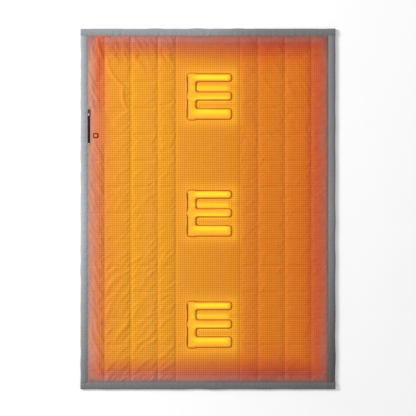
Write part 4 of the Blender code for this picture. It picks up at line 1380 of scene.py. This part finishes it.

# %% Warm colours from the bound edge inwards
# The right-hand colours are darker than the left ones: partly a deeper glow, partly painted shade away from the
# lamp on the left.
LEFT_WARMTH_AND_PAINTED_LIGHT = [
    (0.00, screen_colour(152, 116, 112)),
    (0.07, screen_colour(184, 126, 112)),
    (0.20, screen_colour(208, 116, 78)),
    (0.36, screen_colour(220, 126, 52)),
    (0.55, screen_colour(228, 146, 36)),
    (1.00, screen_colour(230, 152, 34)),
]
RIGHT_WARMTH_AND_PAINTED_SHADE = [
    (0.00, screen_colour(134, 94, 88)),
    (0.07, screen_colour(162, 96, 86)),
    (0.20, screen_colour(190, 75, 52)),
    (0.36, screen_colour(207, 86, 38)),
    (0.55, screen_colour(216, 103, 28)),
    (1.00, screen_colour(219, 116, 26)),
]
WARMTH_DEPTH = 0.25
print(len(LEFT_WARMTH_AND_PAINTED_LIGHT), "colours on the left and", len(RIGHT_WARMTH_AND_PAINTED_SHADE), "on the right, from the edge inwards")


# %% Face cloth
def face_cloth():
    finish = Finish(
        "face_cloth", Roughness=0.7, Specular_IOR_Level=0.06, Sheen_Weight=0.03, Sheen_Roughness=0.5
    )
    place = finish.place()
    parts = finish.node("ShaderNodeSeparateXYZ", {}, [place])
    x, y = Value(finish, parts.outputs[0]), Value(finish, parts.outputs[1])
    edge = finish.attribute("edge_distance")
    wobble = finish.noise(place, 9.0, 3.0) - 0.5
    depth = (edge + wobble * 0.03) / WARMTH_DEPTH
    seam = x.between(PANEL_SEAM - 0.001, PANEL_SEAM + 0.001)
    # The mix towards the right-hand colours is partly a deeper glow and partly painted shade, darker away from
    # the lamp on the left.
    across = x.between(-0.35, 0.40) * 0.72 + seam * 0.22 + wobble * 0.15
    colour = finish.mix(across.clamp(), finish.ramp(depth, LEFT_WARMTH_AND_PAINTED_LIGHT), finish.ramp(depth, RIGHT_WARMTH_AND_PAINTED_SHADE))
    ends = y.math("ABSOLUTE").between(EDGE_Y - 0.17, EDGE_Y - 0.045)
    colour = finish.mix(ends, colour, finish.mix(1.0, colour, (0.86, 0.71, 0.82), "MULTIPLY"))
    glow = finish.attribute("pad_nearness") * 0.95
    colour = finish.mix(glow.clamp(), colour, screen_colour(248, 165, 40))
    wedge = x.between(-0.625, -0.600) * x.between(-0.562, -0.567) * y.between(0.36, 0.80) * 0.55
    colour = finish.mix(wedge, colour, screen_colour(206, 84, 46))
    inside = x.math("ABSOLUTE").between(MESH_X, MESH_X - 0.012)
    inside = inside * y.math("ABSOLUTE").between(MESH_Y, MESH_Y - 0.012)
    streaks = finish.attribute("streaks").clamp()
    mesh = mesh_lines(finish, place, MESH_PITCH) * (1 - streaks * 0.8)
    hole = finish.mix(1.0, colour, (1.07, 1.23, 1.30), "MULTIPLY")
    thread = finish.mix(1.0, colour, (0.73, 0.56, 0.56), "MULTIPLY")
    colour = finish.mix(inside, colour, finish.mix(mesh, hole, thread))
    # Painted glow in the bright streaks, over the mesh.
    colour = finish.mix(streaks * 0.9, colour, screen_colour(252, 206, 38))
    patches = finish.noise(place, 30.0, 4.0) * 0.10
    colour = finish.mix(patches, colour, screen_colour(250, 190, 90))
    finish.set("Base Color", colour)
    weave = cloth_weave(finish, place, FACE_WEAVE_PITCH)
    crumple = finish.noise(place, 60.0, 4.0)
    finish.bump(weave * 0.15 + crumple + mesh * 0.5, 0.0006, 0.6)
    return finish.material


def dress(obj, material):
    obj.data.materials.clear()
    obj.data.materials.append(material)


FACE_CLOTH = face_cloth()
for sheet in faces.values():
    dress(sheet, FACE_CLOTH)
print("face cloth:", len(FACE_CLOTH.node_tree.nodes), "nodes")

# %% [markdown]
# ## Binding, back and filling
#
# The binding is a grey plain-woven cloth with painted light and shade: its grey is painted paler on the side
# that the light comes from and darker away from it. The back is a brushed fleece: short soft pile, so it has no
# weave, only soft clumps and a strong sheen. The filling is white fibre.


# %% Woven cloth, for the binding
def woven(name, colour, dark, pitch, sheen=0.2, roughness=0.8, painted_light_ramp=None):
    finish = Finish(name, Specular_IOR_Level=0.25, Sheen_Weight=sheen, Sheen_Roughness=0.5)
    place = finish.place()
    weave = cloth_weave(finish, place, pitch)
    patches = finish.noise(place, 14.0, 4.0)
    shade = finish.mix((patches * 0.6 + weave * 0.2).clamp(), dark, colour)
    # Painted light and shade: the grey is painted paler towards the lamp and darker away from it.
    if painted_light_ramp is not None:
        painted_light_grey = finish.ramp(finish.attribute("paleness"), painted_light_ramp)
        shade = finish.mix(1.0, shade, painted_light_grey, "MULTIPLY")
    finish.set("Base Color", shade)
    finish.set("Roughness", patches * 0.12 + (roughness - 0.06))
    finish.bump(weave * 0.4 + finish.noise(place, 220.0, 3.0), 0.0003, 0.5)
    return finish.material


# The binding's grey, with painted light and shade from its darkest to its palest strips.
BINDING_GREY_AND_PAINTED_LIGHT = [
    (0.30, screen_colour(84, 82, 80)),
    (0.50, screen_colour(130, 129, 131)),
    (0.68, screen_colour(170, 175, 178)),
]
BINDING_CLOTH = woven(
    "binding_cloth", (1.0, 1.0, 1.0), (0.82, 0.82, 0.82), 0.0011, 0.05, 0.85, BINDING_GREY_AND_PAINTED_LIGHT
)
print("binding cloth:", len(BINDING_CLOTH.node_tree.nodes), "nodes")


# %% Fleece and fibre
def fleece():
    finish = Finish("back_fleece", Specular_IOR_Level=0.15, Sheen_Weight=0.6, Sheen_Roughness=0.6)
    place = finish.place()
    clumps = finish.noise(place, 160.0, 5.0, roughness=0.65)
    drift = finish.noise(place, 12.0, 3.0)
    pile = (clumps * 0.7 + drift * 0.3).clamp()
    finish.set("Base Color", finish.mix(pile, screen_colour(46, 47, 51), screen_colour(98, 99, 104)))
    finish.set("Roughness", clumps * 0.1 + 0.85)
    finish.bump(clumps + finish.noise(place, 500.0, 2.0) * 0.5, 0.0012, 0.8)
    return finish.material


def fibre():
    finish = Finish("batting_fibre", Roughness=0.95, Specular_IOR_Level=0.1, Sheen_Weight=0.3)
    place = finish.place()
    strands = finish.noise(place, 90.0, 6.0, stretch=(1.0, 0.25, 1.0), roughness=0.7)
    finish.set("Base Color", finish.mix(strands, screen_colour(205, 203, 198), screen_colour(246, 245, 242)))
    finish.bump(strands, 0.002, 0.7)
    return finish.material


BACK_FLEECE, BATTING_FIBRE = fleece(), fibre()
for section in SECTIONS:
    dress(backs[section], BACK_FLEECE)
    dress(fillings[section], BATTING_FIBRE)
for strip in bindings.values():
    dress(strip, BINDING_CLOTH)
dress(bag, woven("bag_cloth", screen_colour(60, 60, 62), screen_colour(34, 34, 36), 0.0009))
print("fleece:", len(BACK_FLEECE.node_tree.nodes), "nodes, fibre:", len(BATTING_FIBRE.node_tree.nodes), "nodes")

# %% [markdown]
# ## Pads
#
# The pad covers are the brightest part: a smooth, slightly shiny yellow film cloth with painted light and
# shade:
# a painted highlight and glow along the middle of each tube, painted shade in brown on the sewn flange, and the
# darkest painted shade where the flange tucks under beside the spine.


# %% Pad covers
def pad_film():
    finish = Finish("pad_cover", Specular_IOR_Level=0.2)
    place = finish.place()
    depth = finish.attribute("depth")
    streaks = finish.noise(place, 70.0, 3.0, stretch=(0.12, 1.0, 1.0))
    # Painted shade and highlight across each tube: brown on the flange, orange up its side, yellow on its
    # crown.
    stops = [
        (0.0, screen_colour(176, 78, 12)),
        (0.13, screen_colour(180, 82, 12)),
        (0.26, screen_colour(236, 148, 26)),
        (0.60, screen_colour(249, 174, 36)),
    ]
    colour = finish.ramp((depth + (streaks - 0.5) * 0.006) / 0.024, stops)
    # Painted highlight and glow along the middle of each tube.
    heat = (finish.attribute("streaks") * 1.1 + (streaks - 0.5) * 0.5) * depth.between(0.004, 0.012)
    colour = finish.mix(heat.clamp(), colour, screen_colour(253, 220, 42))
    colour = finish.mix(finish.attribute("spine_shade") * 0.8, colour, screen_colour(96, 36, 8))
    finish.set("Base Color", colour)
    finish.set("Roughness", streaks * 0.2 + 0.36)
    wrinkles = finish.noise(place, 130.0, 3.0, stretch=(0.35, 1.0, 1.0))
    finish.bump(wrinkles + cloth_weave(finish, place, 0.0012) * 0.08, 0.0005, 0.6)
    return finish.material


PAD_COVER = pad_film()
for pad in pads.values():
    dress(pad, PAD_COVER)
print("pad cover:", len(PAD_COVER.node_tree.nodes), "nodes")

# %% [markdown]
# ## Threads, zip, button and the pieces inside
#
# The hard pieces keep the plain model's shapes. Each gets a finish of its own: moulded plastic with a fine
# grain, brushed metal, printed board, foil. They share two recipes, one for plastics and one for metals, that
# differ in colour and gloss. The button's cap glows a little, and thread has its own recipe with a sheen.


# %% Recipes for plastics and metals
def plain_place(finish):
    """Rigid pieces don't bend, so their own coordinates do for a pattern."""
    return finish.node("ShaderNodeTexCoord", {}).outputs["Object"]


def moulded(name, colour, worn, roughness, grain=900.0, depth=0.00005, **constants):
    finish = Finish(name, **constants)
    place = plain_place(finish)
    speckle = finish.noise(place, grain, 3.0)
    wear = finish.noise(place, 120.0, 4.0).between(0.45, 0.75)
    finish.set("Base Color", finish.mix(wear * 0.5, colour, worn))
    finish.set("Roughness", speckle * 0.15 + wear * 0.1 + (roughness - 0.1))
    finish.bump(speckle, depth, 0.5)
    return finish.material


def brushed(name, colour, dark, roughness, along=(1.0, 0.05, 1.0)):
    finish = Finish(name, Metallic=1.0)
    place = plain_place(finish)
    lines = finish.noise(place, 2500.0, 3.0, stretch=along)
    stain = finish.noise(place, 90.0, 3.0)
    finish.set("Base Color", finish.mix((stain * 0.6).clamp(), colour, dark))
    finish.set("Roughness", lines * 0.2 + (roughness - 0.1))
    finish.bump(lines, 0.00003, 0.4)
    return finish.material


print("worn patches on plastics are about", round(1000 / 120), "mm across")


# %% Recipes for the cap and for thread
def lit_cap():
    finish = Finish("button_light", Roughness=0.35, Emission_Strength=0.35)
    place = plain_place(finish)
    cloudy = finish.noise(place, 500.0, 2.0)
    colour = finish.mix(cloudy, screen_colour(226, 88, 30), screen_colour(246, 122, 48))
    finish.set("Base Color", colour)
    finish.set("Emission Color", colour)
    return finish.material


def thread(name, colour):
    finish = Finish(name, Roughness=0.55, Sheen_Weight=0.3)
    ply = finish.noise(finish.place(), 900.0, 2.0)
    dark = tuple(part * 0.6 for part in colour)
    finish.set("Base Color", finish.mix(ply, dark, colour))
    finish.bump(ply, 0.0001, 0.6)
    return finish.material


print("thread is plied about every", round(1000 / 900, 1), "mm")

# %% Threads and zip
THREADS = {
    "face": thread("face_thread", screen_colour(214, 122, 34)),
    "binding": thread("binding_thread", screen_colour(150, 150, 150)),
}
for obj, _, kind in thread_pieces:
    dress(obj, THREADS[kind])
TAPE = woven("zip_tape_cloth", screen_colour(88, 26, 22), screen_colour(56, 16, 14), 0.0008)
TEETH = moulded("zip_teeth_resin", screen_colour(66, 18, 16), screen_colour(92, 40, 34), 0.35)
for tag in ("outer", "inner"):
    dress(bpy.data.objects["zip_moulded_teeth_" + tag], TEETH)
    dress(bpy.data.objects["zip_woven_tape_" + tag], TAPE)

print("threads on", len(thread_pieces), "pieces")

# %% Hard pieces
# Recipe, colour, second colour, roughness and pieces of each finish
HARD_FINISHES = {
    "zip_metal": (
        brushed, (250, 246, 240), (222, 216, 208), 0.45, ("zip_slider", "zip_top_stop", "zip_bottom_stop")
    ),
    "pull_rubber": (moulded, (74, 24, 20), (104, 48, 40), 0.5, ("zip_pull_tab",)),
    "button_shell": (moulded, (88, 22, 12), (120, 40, 24), 0.4, ("button_bezel", "button_back_plate")),
    "button_ring": (moulded, (140, 42, 20), (178, 70, 38), 0.3, ("button_light_ring",)),
    "circuit_board": (
        moulded, (16, 82, 48), (40, 118, 72), 0.4, ("button_circuit_board", "battery_circuit_board")
    ),
    "switch_body": (moulded, (28, 28, 30), (60, 60, 64), 0.5, ("button_switch",)),
    "battery_shell": (
        moulded, (30, 31, 34), (52, 53, 57), 0.5, ("battery_case_lower", "battery_case_upper", "battery_socket")
    ),
    "cell_foil": (brushed, (190, 192, 196), (150, 152, 158), 0.35, ("battery_cell",)),
    "pad_film": (moulded, (212, 150, 60), (190, 120, 40), 0.4, [f"pad_carrier_{s}" for s in SECTIONS]),
    "carbon_fibre": (moulded, (38, 38, 40), (70, 70, 74), 0.45, [f"heating_element_{s}" for s in SECTIONS]),
    "wire_jacket": (moulded, (44, 44, 46), (80, 80, 84), 0.5, [f"flat_lead_{s}" for s in SECTIONS]),
}
for finish_name, (recipe, colour, second, roughness, pieces) in HARD_FINISHES.items():
    material = recipe(finish_name, screen_colour(*colour), screen_colour(*second), roughness)
    for piece in pieces:
        dress(nodes[piece], material)
dress(nodes["button_cap"], lit_cap())
print("finishes:", len(bpy.data.materials))

# %% [markdown]
# ## Floor, light and camera
#
# A plain pale floor and soft light show the cloth's relief best. One large lamp stands low on the left, a
# little towards the head, so each crease has a bright and a dark side, and a pale sky fills the shadows. The
# camera looks straight down from so high that the long lens keeps the sides straight.

# %% Floor
FLOOR_HALF = 9
floor_corners = [(FLOOR_HALF * a, FLOOR_HALF * b, 0) for a, b in ((-1, -1), (1, -1), (1, 1), (-1, 1))]
floor = new_object("floor", floor_corners, [(0, 1, 2, 3)])
floor.location.z = -0.0006
floor_finish = Finish("pale_floor", Roughness=0.9, Specular_IOR_Level=0.1)
floor_grain = floor_finish.noise(plain_place(floor_finish), 3.0, 3.0)
floor_finish.set("Base Color", floor_finish.mix(floor_grain, (0.93, 0.93, 0.93), (0.96, 0.96, 0.96)))
dress(floor, floor_finish.material)
print("floor:", 2 * FLOOR_HALF, "m wide")

# %% Light
scene = bpy.context.scene
world = bpy.data.worlds.new("pale_sky")
scene.world = world
world.use_nodes = True
sky = world.node_tree.nodes["Background"]
sky.inputs["Color"].default_value = (1.0, 1.0, 1.0, 1.0)
sky.inputs["Strength"].default_value = 0.635


def soft_lamp(name, place, size, power):
    lamp = bpy.data.lights.new(name, "AREA")
    lamp.shape = "RECTANGLE"
    lamp.size, lamp.size_y, lamp.energy = size, size, power
    obj = bpy.data.objects.new(name, lamp)
    scene.collection.objects.link(obj)
    obj.location = place
    obj.rotation_mode = "QUATERNION"
    direction = -obj.location
    obj.rotation_quaternion = direction.to_track_quat("-Z", "Y")
    return obj


key_lamp = soft_lamp("key_lamp", (-7.4, 3.3, 3.8), 2.0, 880)
scene.view_settings.view_transform = "Standard"
scene.view_settings.look = "None"
scene.view_settings.exposure = 0.0
height_angle = math.degrees(math.atan2(key_lamp.location.z, math.hypot(*key_lamp.location[:2])))
print(f"the lamp stands {height_angle:.0f} degrees above the floor")

# %% Camera
VIEW_WIDTH = 2.280
LENS, SENSOR = 85, 36
camera_data = bpy.data.cameras.new("camera")
camera_data.lens, camera_data.sensor_width = LENS, SENSOR
camera = bpy.data.objects.new("camera", camera_data)
scene.collection.objects.link(camera)
camera.location = (0.0005, 0.0049, VIEW_WIDTH * LENS / SENSOR + FACE_TOP)
camera_data.clip_end = 100
scene.camera = camera
print(f"camera height {camera.location.z:.3f} m")
